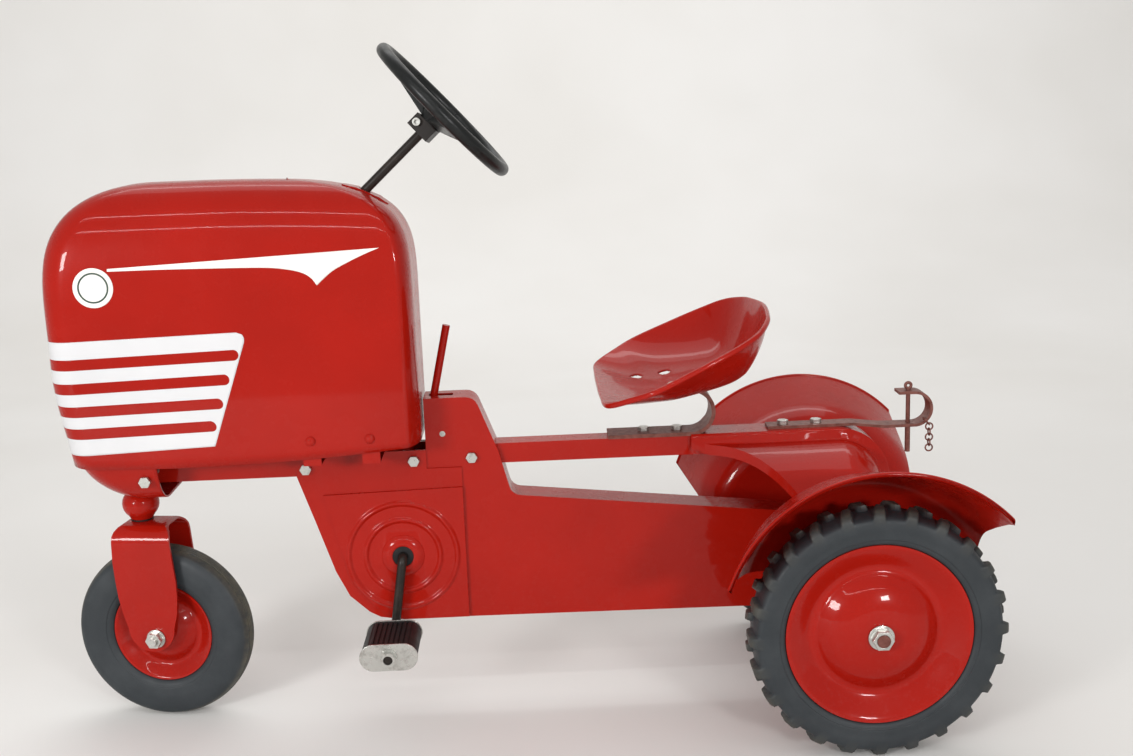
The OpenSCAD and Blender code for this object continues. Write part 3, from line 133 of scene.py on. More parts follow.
class Graph:
    """A material's node tree with short calls to add and join nodes."""

    def __init__(self, name: str) -> None:
        """Make an empty material.

        Args:
            name: The material's name.
        """
        self.material = bpy.data.materials.new(name)
        self.material.use_nodes = True
        self.tree = self.material.node_tree
        self.tree.nodes.clear()
        self.shader = self.add("ShaderNodeBsdfPrincipled")
        self.add("ShaderNodeOutputMaterial", {"Surface": self.shader.outputs["BSDF"]})
        self.coords = self.add("ShaderNodeTexCoord").outputs["Object"]

    def put(self, value: float | tuple | Socket, socket: Socket) -> None:
        """Give an input a plain value, or join another node's output to it.

        Args:
            value: The value or the output.
            socket: The input.
        """
        if isinstance(value, bpy.types.NodeSocket):
            self.tree.links.new(value, socket)
        else:
            socket.default_value = value

    def add(self, kind: str, inputs: dict | None = None, **settings: str) -> bpy.types.Node:
        """Add a node.

        Args:
            kind: The node's type.
            inputs: What each of its inputs gets, a plain value or an output.
            settings: The node's own settings.

        Returns:
            The new node.
        """
        node = self.tree.nodes.new(kind)
        for key, value in settings.items():
            setattr(node, key, value)
        for key, value in (inputs or {}).items():
            self.put(value, node.inputs[key])
        return node

    def noise(self, noise: Noise) -> Socket:
        """Return the value of a new noise texture, from 0 to 1."""
        inputs = {"Scale": noise.scale, "Detail": noise.detail, "Roughness": noise.rough}
        return self.add("ShaderNodeTexNoise", {**inputs, "Vector": self.coords}).outputs["Fac"]

    def ranged(self, value: Socket, span: Span, result: Span) -> Socket:
        """Return a value whose span is mapped to a result, held at the ends."""
        ends = {"From Min": span[0], "From Max": span[1], "To Min": result[0], "To Max": result[1]}
        return self.add("ShaderNodeMapRange", {**ends, "Value": value}).outputs["Result"]

    def patches(self, noise: Noise, result: Span = (0.0, 1.0)) -> Socket:
        """Return a noise texture whose span is mapped to a result."""
        return self.ranged(self.noise(noise), noise.span, result)

    def mixed(self, share: Socket, low: Triple | Socket, high: Triple | Socket) -> Socket:
        """Mix two colours.

        Args:
            share: The share of the second colour.
            low: The first colour, or a socket that gives it.
            high: The second colour, or a socket that gives it.

        Returns:
            The mixed colour.
        """
        inputs = {0: share}
        for key, value in ((6, low), (7, high)):
            inputs[key] = (*value, 1.0) if isinstance(value, tuple) else value
        return self.add("ShaderNodeMix", inputs, data_type="RGBA").outputs[2]

    def times(self, a: Socket, b: Socket) -> Socket:
        """Return the product of two values, a and b, as a socket."""
        return self.add("ShaderNodeMath", {0: a, 1: b}, operation="MULTIPLY").outputs[0]

    def bump(self, relief: Relief) -> None:
        """Raise the surface by a relief, on top of any that it has.

        Args:
            relief: The relief.
        """
        inputs = {"Distance": relief.depth, "Strength": relief.tilt, "Height": self.noise(relief.noise)}
        normal = self.shader.inputs["Normal"]
        if normal.links:
            inputs["Normal"] = normal.links[0].from_socket
        self.put(self.add("ShaderNodeBump", inputs).outputs["Normal"], normal)


@dataclass(frozen=True)
class Finish:
    """A finish that gives the object a material, and holds the name of the record's slot, if it has one.

    Two tones are mixed by noise, the gloss varies and a fine relief lies on top. Coat holds
    the weight and the roughness of the clear coat.
    """

    name: str
    slot: str
    colour: Triple
    worn: Triple
    roughness: Span
    tones: Noise = Noise(9.0, 3.0, span=(0.35, 0.7))
    tone_share: float = 1.0
    gloss: Noise = Noise(150.0)
    reliefs: tuple[Relief, ...] = ()
    metallic: float = 0.0
    specular: float = 0.5
    coat: Span = (0.0, 0.03)

    def tint(self, graph: Graph) -> Socket:
        """Return the colour, both tones mixed by noise."""
        return graph.mixed(graph.patches(self.tones, (0.0, self.tone_share)), self.colour, self.worn)

    def material(self) -> bpy.types.Material:
        """Return this finish's material, made once and kept in the file."""
        return bpy.data.materials.get(f"{self.name}_finish") or self.build()

    def build(self) -> bpy.types.Material:
        """Return a new material with this finish's colours, gloss and relief."""
        graph = Graph(f"{self.name}_finish")
        inputs = {
            "Base Color": self.tint(graph),
            "Roughness": graph.patches(self.gloss, self.roughness),
            "Metallic": self.metallic,
            "Specular IOR Level": self.specular,
            "Coat Weight": self.coat[0],
            "Coat Roughness": self.coat[1],
        }
        for key, value in inputs.items():
            graph.put(value, graph.shader.inputs[key])
        for relief in self.reliefs:
            graph.bump(relief)
        return graph.material

    def put_on(self, piece: bpy.types.Object) -> bpy.types.Object:
        """Give a piece this finish.

        Args:
            piece: The object to be dressed.

        Returns:
            The same object.
        """
        piece.data.materials.clear()
        piece.data.materials.append(self.material())
        return piece if self.slot else piece


@dataclass(frozen=True)
class Enamel(Finish):
    """Stoved gloss paint: a deep colour with a clear top, faint ripples and dust near the floor."""

    gloss: Noise = Noise(38.0, 5.0, 0.65, (0.3, 0.75))
    reliefs: tuple[Relief, ...] = (Relief(Noise(55.0, 2.0), 0.00004, 0.6),)
    specular: float = 0.05
    coat: Span = (0.34, 0.04)
    dust: Noise = Noise(160.0, 6.0, 0.7, (0.52, 0.75))
    dust_share: float = 0.35
    dust_top: float = 0.2
    dust_pale: Span = (0.82, 0.05)

    def tint(self, graph: Graph) -> Socket:
        """Return both tones mixed by noise, with paler dust where the piece is low.

        Args:
            graph: The new material's graph.
        """
        keep, add = self.dust_pale
        dusty = tuple(keep * c + add for c in self.colour)
        height = graph.add("ShaderNodeSeparateXYZ", {0: graph.coords}).outputs["Z"]
        low = graph.ranged(height, (0.0, self.dust_top), (self.dust_share, 0.0))
        return graph.mixed(graph.times(low, graph.patches(self.dust)), super().tint(graph), dusty)


METAL_GRAIN = Noise(420.0, 5.0, 0.7)


@dataclass(frozen=True)
class Metal(Finish):
    """Plated or bare metal with a grain, spots and tarnish."""

    tones: Noise = Noise(130.0, 7.0, 0.68, (0.5, 0.75))
    gloss: Noise = Noise(300.0, 4.0, 0.6)
    reliefs: tuple[Relief, ...] = (Relief(METAL_GRAIN, 0.00006, 0.8),)
    metallic: float = 0.9


@dataclass(frozen=True)
class Rubber(Finish):
    """Moulded rubber with a bloom, and paler ground where the mesh stores wear."""

    tones: Noise = Noise(26.0, 6.0, 0.65, (0.42, 0.78))
    tone_share: float = 0.55
    gloss: Noise = Noise(60.0, 5.0)
    reliefs: tuple[Relief, ...] = (Relief(Noise(520.0, 5.0, 0.7), 0.00007, 0.7),)
    specular: float = 0.38
    bloom: Triple = (0.10, 0.105, 0.10)
    rubbed: Noise = Noise(90.0, 6.0, 0.7, (0.35, 0.7))
    rubbed_share: Span = (0.15, 0.9)

    def tint(self, graph: Graph) -> Socket:
        """Return the rubber, its bloom and the colour of the tread's ground parts.

        Args:
            graph: The new material's graph.
        """
        cloud = graph.patches(self.tones, (0.0, self.tone_share))
        wear = graph.add("ShaderNodeAttribute", attribute_name="wear").outputs["Fac"]
        ground = graph.times(wear, graph.patches(self.rubbed, self.rubbed_share))
        return graph.mixed(ground, graph.mixed(cloud, self.colour, self.bloom), self.worn)


@dataclass(frozen=True)
class Black(Finish):
    """Black paint or black plastic with greyer rubbed parts."""

    tones: Noise = Noise(70.0, 7.0, 0.7, (0.5, 0.8))
    tone_share: float = 0.8
    reliefs: tuple[Relief, ...] = (Relief(Noise(260.0, 4.0, 0.6), 0.00005, 0.7),)
    specular: float = 0.28


@dataclass(frozen=True)
class Cloth(Finish):
    """The pale ground that the tractor stands on, with low soft folds and a fine weave."""

    tones: Noise = Noise(1.1, 3.0, 0.5, (0.35, 0.7))
    gloss: Noise = Noise(4.0, 2.0)
    reliefs: tuple[Relief, ...] = (Relief(Noise(2.2, 2.0), 0.012, 0.5),
                                   Relief(Noise(900.0, 2.0), 0.0001, 0.5))
    specular: float = 0.15


RED = Enamel("red_enamel", "enamel", (0.355, 0.0085, 0.0035), (0.31, 0.0075, 0.003), (0.20, 0.34))
SILVER = Enamel("silver_paint", "", (0.68, 0.68, 0.69), (0.62, 0.62, 0.63), (0.26, 0.40))
WHITE = Enamel("white_paint", "", (0.86, 0.84, 0.80), (0.80, 0.775, 0.73), (0.25, 0.38))
RING = Enamel("grey_line", "", (0.05, 0.08, 0.065), (0.08, 0.11, 0.09), (0.30, 0.42))
ZINC = Metal("zinc_plate", "zinc", (0.56, 0.56, 0.53), (0.30, 0.285, 0.26), (0.24, 0.42))
STEEL = Metal("bare_steel", "bare_steel", (0.20, 0.072, 0.055), (0.11, 0.028, 0.018), (0.38, 0.60),
              tones=Noise(130.0, 7.0, 0.68, (0.42, 0.66)), reliefs=(Relief(METAL_GRAIN, 0.00015, 0.8),),
              metallic=0.3)
CHAIN = Metal("chain_steel", "bare_steel", (0.22, 0.20, 0.18), (0.08, 0.06, 0.05), (0.30, 0.5),
              tones=Noise(130.0, 7.0, 0.68, (0.45, 0.7)), reliefs=(Relief(METAL_GRAIN, 0.0001, 0.8),),
              metallic=0.85)
TYRE = Rubber("tyre_rubber", "rubber", (0.021, 0.026, 0.030), (0.12, 0.105, 0.07), (0.46, 0.64),
              bloom=(0.046, 0.053, 0.058))
PEDAL = Rubber("pedal_rubber", "pedal_rubber", (0.008, 0.008, 0.009), (0.04, 0.04, 0.037), (0.48, 0.66),
               bloom=(0.022, 0.022, 0.022))
ROD = Black("black_steel", "black_steel", (0.014, 0.010, 0.008), (0.045, 0.03, 0.022), (0.30, 0.48))
PLASTIC = Black("wheel_plastic", "wheel_plastic", (0.007, 0.008, 0.008), (0.026, 0.027, 0.025),
                (0.26, 0.42))
NYLON = Black("nylon", "nylon", (0.007, 0.007, 0.008), (0.025, 0.025, 0.025), (0.40, 0.55))
GROUND = Cloth("pale_cloth", "", (0.80, 0.79, 0.775), (0.74, 0.725, 0.70), (0.55, 0.75))


# Surfaces on grids


@dataclass
class Surface:
    """A grid of points in millimetres that becomes one part of a piece's mesh.

    The last row or column joins the first where it wraps. Only cells whose four points are
    kept become faces.
    """

    points: np.ndarray
    wrap_rows: bool = False
    wrap_columns: bool = False
    close_ends: bool = False
    flip: bool = False
    wear: np.ndarray | None = None
    keep: np.ndarray | None = None

    def faces(self) -> list[list[int]]:
        """Return the faces: the grid's cells that are kept, and the two ends if closed."""
        rows, columns = self.points.shape[:2]
        spans = np.arange(rows - (not self.wrap_rows)), np.arange(columns - (not self.wrap_columns))
        r, c = np.meshgrid(*spans, indexing="ij")
        r1, c1 = (r + 1) % rows, (c + 1) % columns
        corners = [r * columns + c, r * columns + c1, r1 * columns + c1, r1 * columns + c]
        cells = np.stack(corners, -1).reshape(-1, 4)
        if self.keep is not None:
            cells = cells[self.keep.ravel()[cells].all(1)]
        if self.flip:
            cells = cells[:, ::-1]
        found = cells.tolist()
        if self.close_ends:
            first = np.arange(columns)
            found += [first[::-1].tolist(), (first + (rows - 1) * columns).tolist()]
        return found


def turned(profile: np.ndarray, centre: Triple, steps: int, wear: np.ndarray | None = None) -> Surface:
    """Turn a closed profile about a level axis that runs along Y.

    Args:
        profile: Radius and Y of each point of the profile, in millimetres.
        centre: Where the axis is, with the Y that the profile is measured from.
        steps: Points round the axis.
        wear: The wear of each point of the profile.

    Returns:
        The turned surface.
    """
    angle = np.linspace(0, TURN, steps, endpoint=False)[:, None]
    r, y = profile[None, :, 0], profile[None, :, 1]
    points = np.stack([r * np.cos(angle), y + 0 * angle, r * np.sin(angle)], -1) + np.array(centre)
    worn = None if wear is None else np.broadcast_to(wear, (steps, len(profile)))
    return Surface(points, wrap_rows=True, wrap_columns=True, wear=worn)


def smooth_line(points: list[Span] | np.ndarray, per_span: int) -> np.ndarray:
    """Run a smooth curve through points, its slope at each taken from its neighbours.

    Args:
        points: The points that the curve passes.
        per_span: New points for each span.

    Returns:
        The points along the curve.
    """
    p = np.asarray(points, float)
    slope = np.gradient(p, axis=0)
    t = np.linspace(0, 1, per_span, endpoint=False)[None, :, None]
    a, b = p[:-1, None], p[1:, None]
    ma, mb = slope[:-1, None], slope[1:, None]
    curve = ((2 * t**3 - 3 * t**2 + 1) * a + (t**3 - 2 * t**2 + t) * ma
             + (3 * t**2 - 2 * t**3) * b + (t**3 - t**2) * mb)
    return np.concatenate([curve.reshape(-1, p.shape[1]), p[-1:]])


def mirrored(half: np.ndarray) -> np.ndarray:
    """Return half a section, whose last point is in the middle plane, with its mirror image."""
    return np.concatenate([half, half[-2::-1] * np.array([1, -1])])


def bell(x: np.ndarray, half: np.ndarray | float, soft: float) -> np.ndarray:
    """Return 1 inside a half width and 0 outside, with a smooth step of a soft length between."""
    t = np.clip((half + soft / 2 - np.abs(x)) / soft, 0, 1)
    return t * t * (3 - 2 * t)


def store_wear(mesh: bpy.types.Mesh, wear: np.ndarray) -> None:
    """Store a wear value on each point of a mesh, for its material."""
    layer = mesh.attributes.new("wear", "FLOAT", "POINT")
    layer.data.foreach_set("value", wear.astype(np.float32))


def smooth_mesh(mesh: bpy.types.Mesh, angle: float) -> None:
    """Shade a mesh smooth, except at edges sharper than an angle in degrees."""
    mesh.shade_smooth()
    mesh.set_sharp_from_angle(angle=math.radians(angle))


@dataclass
class Maker:
    """Makes pieces from surfaces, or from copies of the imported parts."""

    frame: dict
    axle_x: float

    def placed(self, mm: np.ndarray) -> np.ndarray:
        """Return points from the rear axle, in millimetres, as metres in the model's frame."""
        return np.asarray(mm, float) * MM + np.array([self.axle_x, 0.0, 0.0])

    def body_of(self, node: str) -> str:
        """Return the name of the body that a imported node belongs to."""
        parent = self.frame["nodes"][node].parent
        return next(name for name, empty in self.frame["bodies"].items() if empty == parent)

    def mesh_of(self, name: str, surfaces: list[Surface]) -> bpy.types.Mesh:
        """Return a mesh of grids of points, each with the wear that it stores.

        Args:
            name: The mesh's name.
            surfaces: The grids, in millimetres from the rear axle.
        """
        points, faces, wear, start = [], [], [], 0
        for part in surfaces:
            flat = part.points.reshape(-1, 3)
            points.append(flat)
            wear.append(np.zeros(len(flat)) if part.wear is None else part.wear.ravel())
            faces += [[i + start for i in face] for face in part.faces()]
            start += len(flat)
        mesh = bpy.data.meshes.new(name)
        mesh.from_pydata(self.placed(np.concatenate(points)).tolist(), [], faces)
        store_wear(mesh, np.concatenate(wear))
        return mesh

    def piece(self, name: str, surfaces: list[Surface], finish: Finish, nodes: list[str],
              body: str | None = None, angle: float = 40.0, sheet: float = 0.0,
              offset: float = -1.0) -> None:
        """Make one piece from grids of points.

        Args:
            name: The piece's name.
            surfaces: Its parts, in millimetres from the rear axle.
            finish: Its finish.
            nodes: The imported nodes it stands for.
            body: The body it rides on, or None for that of the first node.
            angle: Edges sharper than this many degrees stay sharp.
            sheet: The thickness of an open sheet in millimetres, or 0 for a closed mesh.
            offset: The side on which the sheet's thickness lies.
        """
        mesh = self.mesh_of(name, surfaces)
        work = bmesh.new()
        work.from_mesh(mesh)
        bmesh.ops.remove_doubles(work, verts=work.verts, dist=MERGE_M)
        bmesh.ops.dissolve_degenerate(work, edges=work.edges, dist=SLIVER_M)
        if not sheet:
            bmesh.ops.recalc_face_normals(work, faces=work.faces)
        work.to_mesh(mesh)
        work.free()
        smooth_mesh(mesh, angle)
        obj = new_object(name, mesh)
        if sheet:
            solid = obj.modifiers.new("sheet", "SOLIDIFY")
            solid.thickness = sheet * MM
            solid.offset = offset
        finish.put_on(obj)
        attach(obj, body or self.body_of(nodes[0]))
        if nodes:
            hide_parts(*nodes)
        log.info("%s: %d faces", name, len(mesh.polygons))

    def softened(self, node: str, row: Packed) -> None:
        """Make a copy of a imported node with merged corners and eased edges.

        Args:
            node: The node's name.
            row: Its finish, edges and wear.
        """
        mesh = self.frame["nodes"][node].data.copy()
        mesh.name = f"{node}_dressed"
        work = bmesh.new()
        work.from_mesh(mesh)
        bmesh.ops.remove_doubles(work, verts=work.verts, dist=MERGE_M)
        bmesh.ops.dissolve_limit(work, angle_limit=math.radians(FLAT_DEGREES), verts=work.verts,
                                 edges=work.edges)
        work.to_mesh(mesh)
        work.free()
        if "custom_normal" in mesh.attributes:
            mesh.attributes.remove(mesh.attributes["custom_normal"])
        smooth_mesh(mesh, row.angle)
        store_wear(mesh, np.full(len(mesh.vertices), row.wear))
        obj = new_object(mesh.name, mesh)
        if row.edge:
            eased = obj.modifiers.new("eased", "BEVEL")
            eased.width = row.edge * MM
            eased.segments = 2
            eased.limit_method = "ANGLE"
            eased.angle_limit = math.radians(row.angle)
            eased.use_clamp_overlap = True
            eased.harden_normals = True
        row.finish.put_on(obj)
        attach(obj, self.body_of(node))
        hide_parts(node)


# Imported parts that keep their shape


@dataclass(frozen=True)
class Packed:
    """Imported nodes, named with blanks between, that share a finish.

    The edge is the width of the rounding on edges sharper than the angle, in millimetres, 0
    for none. Without an edge the nodes stay as they are. All of a copy stores the wear.
    """

    finish: Finish
    nodes: str
    edge: float | None = None
    angle: float = 33.0
    wear: float = 0.0


@dataclass
class Group:
    """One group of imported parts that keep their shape."""

    maker: Maker
    rows: tuple[Packed, ...]

    def build(self) -> None:
        """Dress the nodes of each row in their order."""
        for row in self.rows:
            for node in row.nodes.split():
                if row.edge is None:
                    row.finish.put_on(self.maker.frame["nodes"][node])
                else:
                    self.maker.softened(node, row)


CHASSIS = (
    Packed(RED, "frame_side_left frame_side_right gearcase_left gearcase_right", 0.45),
    Packed(RED, "front_rail seat_rail rear_cover", 0.45),
    Packed(RED, "hood_brackets column_bracket head_tube column_plate hood_screws", 0.25),
    Packed(ZINC, "frame_bolts", 0.4),
    Packed(STEEL, "seat_spring drawbar", 0.5),
    Packed(STEEL, "hitch_pin", 0.2),
    Packed(STEEL, "hitch_chain", 0.0),
)
FORK = (
    Packed(RED, "front_fork", 1.2, 40.0),
    Packed(ZINC, "fork_nuts front_axle front_hub", 0.3),
    Packed(STEEL, "fork_stem steering_arm", 0.3),
    Packed(NYLON, "head_bushes", 0.2),
)
STEERING = (
    Packed(ROD, "steering_column", 0.0),
    Packed(PLASTIC, "steering_wheel", 1.0),
    Packed(ROD, "wheel_clamp", 0.6),
    Packed(ZINC, "clamp_bolt", 0.2),
)
DRIVE = (
    Packed(ROD, "crankshaft", 0.0),
    Packed(NYLON, "crank_bearings", 0.4),
    Packed(RED, "shift_lever", 0.4),
    Packed(PEDAL, "pedal_left", 0.35, wear=0.25),
    Packed(ZINC, "pedal_plates_left", 0.3),
    Packed(PEDAL, "pedal_right", 0.35, wear=0.25),
    Packed(ZINC, "pedal_plates_right", 0.3),
    Packed(ZINC, "pedal_nuts", 0.4),
    Packed(ZINC, "hub_nuts", 0.5),
    Packed(STEEL, "rear_axle", 0.4),
    Packed(NYLON, "axle_bearings"),
    Packed(CHAIN, "crank_sprocket_low crank_sprocket_high axle_sprockets drive_dog"),
    Packed(CHAIN, "chain_low chain_high axle_sleeves shift_fork"),
    Packed(ZINC, "shift_pins"),
)


# The hood, its painted marks and the pan below its nose


@dataclass
class Hood:
    """The deep pressed shell, as level rings that shrink to the crown.

    Below the shoulder the nose is tucked back and the lower edge is drawn down in its middle.
    Above it the sides, nose and rear are drawn in by powers of one fall, which grows from 0
    at the shoulder to 1 at the top. Each draw is a length and a power. Tuck_z, edge_z, edge_x
    and crown_x say where a bend starts or has its middle, and its run.
    """

    maker: Maker
    rear_x: float = 436.0
    nose_x: float = 801.0
    half_w: float = 65.0
    low_z: float = 300.0
    shoulder_z: float = 440.0
    top_z: float = 568.0
    sheet: float = 2.0
    column_angle: float = 42.5
    column_at: Span = (725.0, 328.2)
    column_room: float = 7.6
    hole_before_x: float = 560.0
    tuck: float = 12.0
    tuck_z: Span = (382.0, 82.0)
    edge_z: Span = (320.0, 20.0)
    edge_drop: float = 12.0
    edge_x: Span = (670.0, 234.0)
    edge_rise: float = 0.455
    draw_w: Span = (60.0, 1.5)
    draw_nose: Span = (110.0, 1.45)
    draw_rear: Span = (122.0, 1.95)
    rear_corner: Span = (14.0, 34.0)
    rear_corner_most: float = 0.6
    nose_corner: float = 30.0
    nose_corner_most: float = 0.3
    nose_round: float = 0.52
    crown_drop: float = 7.0
    crown_x: Span = (650.0, 170.0)

    def tucked(self, z: np.ndarray) -> np.ndarray:
        """Return X of the middle of the nose on rings below the shoulder."""
        start, run = self.tuck_z
        return self.nose_x - self.tuck * (np.clip(start - z, 0, None) / run) ** 1.5

    def nose_at(self, z: np.ndarray) -> np.ndarray:
        """Return X of the nose at heights of the finished shell, whose lowest rings are spread."""
        ring = (z + self.edge_z[0] * self.edge_rise) / (1 + self.edge_rise)
        return self.tucked(np.where(z < self.edge_z[0], ring, z))

    def drawn(self, fall: np.ndarray) -> tuple[np.ndarray, np.ndarray, np.ndarray]:
        """Return the half width, how far the nose lies back, and X of the rear, at each fall."""
        w, nose, rear = (length * fall**power for length, power in
                         (self.draw_w, self.draw_nose, self.draw_rear))
        return self.half_w - w, nose, self.rear_x + rear

    def crown_height(self, x: np.ndarray) -> np.ndarray:
        """Return the height of the top above the shoulder, which falls toward the rear."""
        start, run = self.crown_x
        return self.top_z - self.crown_drop * (np.clip(start - x, 0, None) / run) ** 2 - self.shoulder_z

    def outline(self, z: np.ndarray, a: np.ndarray) -> np.ndarray:
        """Left half of each level ring, from the middle of the rear to the middle of the nose.

        The rear and nose corners are quarter ellipses, joined by a straight side.

        Args:
            z: Height of each ring below the shoulder.
            a: Crown angle of each ring, 0 below the shoulder.

        Returns:
            Points by ring and by place along it.
        """
        zz = z[:, None]
        w, back, rear = self.drawn(1 - np.cos(a)[:, None])
        nose = self.tucked(zz) - back
        rr, ry = (np.minimum(r, w * self.rear_corner_most) for r in self.rear_corner)
        rf = np.minimum(self.nose_corner, (nose - rear) * self.nose_corner_most)
        wf = w * self.nose_round
        b = np.linspace(math.pi, math.pi / 2, 10)[None]
        c = np.linspace(math.pi / 2, 0, 16)[None]
        t = np.linspace(0, 1, 7)[None]
        s = np.linspace(0, 1, 40)[None, 1:-1]
        xs = [rear + 0 * t, rear + rr + rr * np.cos(b), (rear + rr) * (1 - s) + (nose - rf) * s,
              nose - rf + rf * np.cos(c), nose + 0 * t]
        ys = [(w - ry) * t, w - ry + ry * np.sin(b), w + 0 * s, w - wf + wf * np.sin(c),
              (w - wf) * (1 - t)]
        x, y = np.concatenate(xs, 1), np.concatenate(ys, 1)
        middle, reach = self.edge_x
        share = np.clip((self.edge_z[0] - zz) / self.edge_z[1], 0, 1)
        edge = self.edge_drop * (1 - ((x - middle) / reach) ** 2) * share
        up = np.sin(a)[:, None] * self.crown_height(x)
        return np.stack([x, y, np.where(a[:, None] > 0, self.shoulder_z + up, zz - edge)], -1)

    def rings(self) -> np.ndarray:
        """Return the whole rings, from the lower edge up and in to the middle of the top."""
        z = np.concatenate([np.linspace(self.low_z, self.shoulder_z, 22), np.full(30, self.shoulder_z)])
        a = np.concatenate([np.zeros(22), np.linspace(0, math.pi / 2, 31)[1:]])
        left = self.outline(z, a)
        whole = np.concatenate([left, left[:, -2:0:-1] * np.array([1, -1, 1])], 1)
        inner = [whole[-1:] * np.array([1, f, 1]) for f in (0.66, 0.33, 0.0)]
        return np.concatenate([whole, *inner])

    def column_distance(self, p: np.ndarray) -> np.ndarray:
        """Distance of points from the middle line of the steering column.

        Args:
            p: Points in millimetres.

        Returns:
            The distance of each point.
        """
        angle = math.radians(self.column_angle)
        way = np.array([-math.cos(angle), 0, math.sin(angle)])
        off = p - np.array([self.column_at[0], 0, self.column_at[1]])
        return np.linalg.norm(off - (off @ way)[..., None] * way, axis=-1)

    def build(self) -> None:
        """Make the shell with its hole for the column."""
        points = self.rings()
        near = self.column_distance(points) < self.column_room
        keep = ~(near & (points[..., 0] < self.hole_before_x))
        shell = Surface(points, wrap_columns=True, flip=True, keep=keep)
        self.maker.piece("hood_shell", [shell], RED, ["hood"], sheet=self.sheet, angle=60)


@dataclass
class Stripes:
    """The painted marks on both sides of the hood: grille field, bars, spear and disc.

    The field's and the bars' heights are given at the nose or at their rear ends. Each bar
    has X and Z of its round end, and the height of its middle line at the nose.
    """

    maker: Maker
    hood: Hood
    film: float = 0.05
    field_lift: float = 0.12
    bar_lift: float = 0.22
    disc_lift: float = 0.15
    ring_lift: float = 0.28
    nose_z: Span = (302.0, 418.0)
    rear_z: Span = (309.0, 423.0)
    rear_x: Span = (638.5, 597.5)
    field_corner: float = 11.0
    bar_half: float = 5.4
    bars: tuple = (((613.0, 400.6), 394.6), ((624.0, 376.4), 370.4), ((632.3, 352.5), 347.5),
                   ((640.9, 329.9), 324.9))
    spear_x: Triple = (727.0, 580.0, 464.0)
    spear_top: Span = (490.0, 500.0)
    spear_low: tuple = ((727, 487.4), (680, 487.3), (630, 486.6), (578, 485.3), (556, 483.0),
                        (540, 479.0), (531, 473.2), (526, 466.0))
    spear_hook: tuple = ((526, 466.0), (517, 474.0), (508, 480.6), (494, 487.6), (478, 494.6),
                         (464, 499.9))
    disc_at: Span = (742.0, 472.0)
    disc_r: float = 19.5
    ring_r: Span = (13.3, 15.0)
    lift_out: float = 1.3
    lift_up: float = 0.3

    def corner(self) -> tuple[float, float, np.ndarray, np.ndarray]:
        """Return the nose's flat half and round half, and angles and runs along its corner."""
        wf = self.hood.nose_round * self.hood.half_w
        angles = np.linspace(0, math.pi / 2, 200)
        steps = np.hypot(np.diff(self.hood.nose_corner * np.cos(angles)), np.diff(wf * np.sin(angles)))
        return self.hood.half_w - wf, wf, angles, np.concatenate([[0], np.cumsum(steps)])

    def wrapped(self, s: np.ndarray, z: np.ndarray, lift: float) -> np.ndarray:
        """Lay places on the hood's side and nose by their run round it.

        The run is 0 at the middle of the nose, grows toward the left side and falls toward
        the right. It follows the flat nose, then the quarter ellipse, then the side.

        Args:
            s: The run in millimetres.
            z: Height.
            lift: Distance outside the hood.

        Returns:
            The points.
        """
        flat, wf, angles, along = self.corner()
        rf = self.hood.nose_corner
        run = np.abs(s)
        t = np.interp(np.clip(run - flat, 0, along[-1]), along, angles)
        beyond = np.clip(run - flat - along[-1], 0, None)
        out = np.stack([np.cos(t) * wf, np.sin(t) * rf], -1)
        out /= np.linalg.norm(out, axis=-1, keepdims=True)
        x = self.hood.nose_at(z) - rf + rf * np.cos(t) - beyond + lift * out[..., 0]
        y = np.minimum(run, flat) + wf * np.sin(t) + lift * out[..., 1]
        return np.stack([x, y * np.sign(s + 1e-12), z], -1)

    def run_at(self, x: np.ndarray, z: np.ndarray | float) -> np.ndarray:
        """Return the run round the hood, from the middle of the nose to a place on its side."""
        flat, _, _, along = self.corner()
        return flat + along[-1] + (self.hood.nose_at(z) - self.hood.nose_corner - x)

    def on_crown(self, x: np.ndarray, z: np.ndarray, side: Side, lift: float) -> np.ndarray:
        """Lay places on the side of the hood where it curves in above the shoulder.

        The fall follows from the height, and the nose from the fall.

        Args:
            x: Place ahead of the rear axle.
            z: Height.
            side: Left or right.
            lift: Distance outside the hood.

        Returns:
            The points.
        """
        hood = self.hood
        sine = np.clip((z - hood.shoulder_z) / hood.crown_height(x), 0, 1)
        w, back, rear = hood.drawn(1 - np.sqrt(1 - sine**2))
        nose = hood.nose_at(z) - back
        rf = np.minimum(hood.nose_corner, (nose - rear) * hood.nose_corner_most)
        ahead = np.clip((x - (nose - rf)) / rf, 0, 0.999)
        y = w - hood.nose_round * w * (1 - np.sqrt(1 - ahead**2))
        return np.stack([x, (y + lift * self.lift_out) * side.value, z + lift * self.lift_up], -1)

    def field_surface(self) -> Surface:
        """Return the silver field, which runs from one side round the nose to the other."""
        v = np.linspace(0, 1, 60)[:, None]
        u = np.linspace(-1, 1, 241)[None]
        height = self.rear_z[1] - self.rear_z[0]
        corner = self.field_corner / height
        near_top = np.clip((v - (1 - corner)) / corner, 0, 1)
        back = self.rear_x[0] + (self.rear_x[1] - self.rear_x[0]) * v
        back = back + self.field_corner * (1 - np.sqrt(1 - near_top**2))
        z_rear = self.rear_z[0] + height * v
        z_nose = self.nose_z[0] + (self.nose_z[1] - self.nose_z[0]) * v
        z = z_nose + (z_rear - z_nose) * np.abs(u)
        return Surface(self.wrapped(u * self.run_at(back, z_rear), z, self.field_lift))

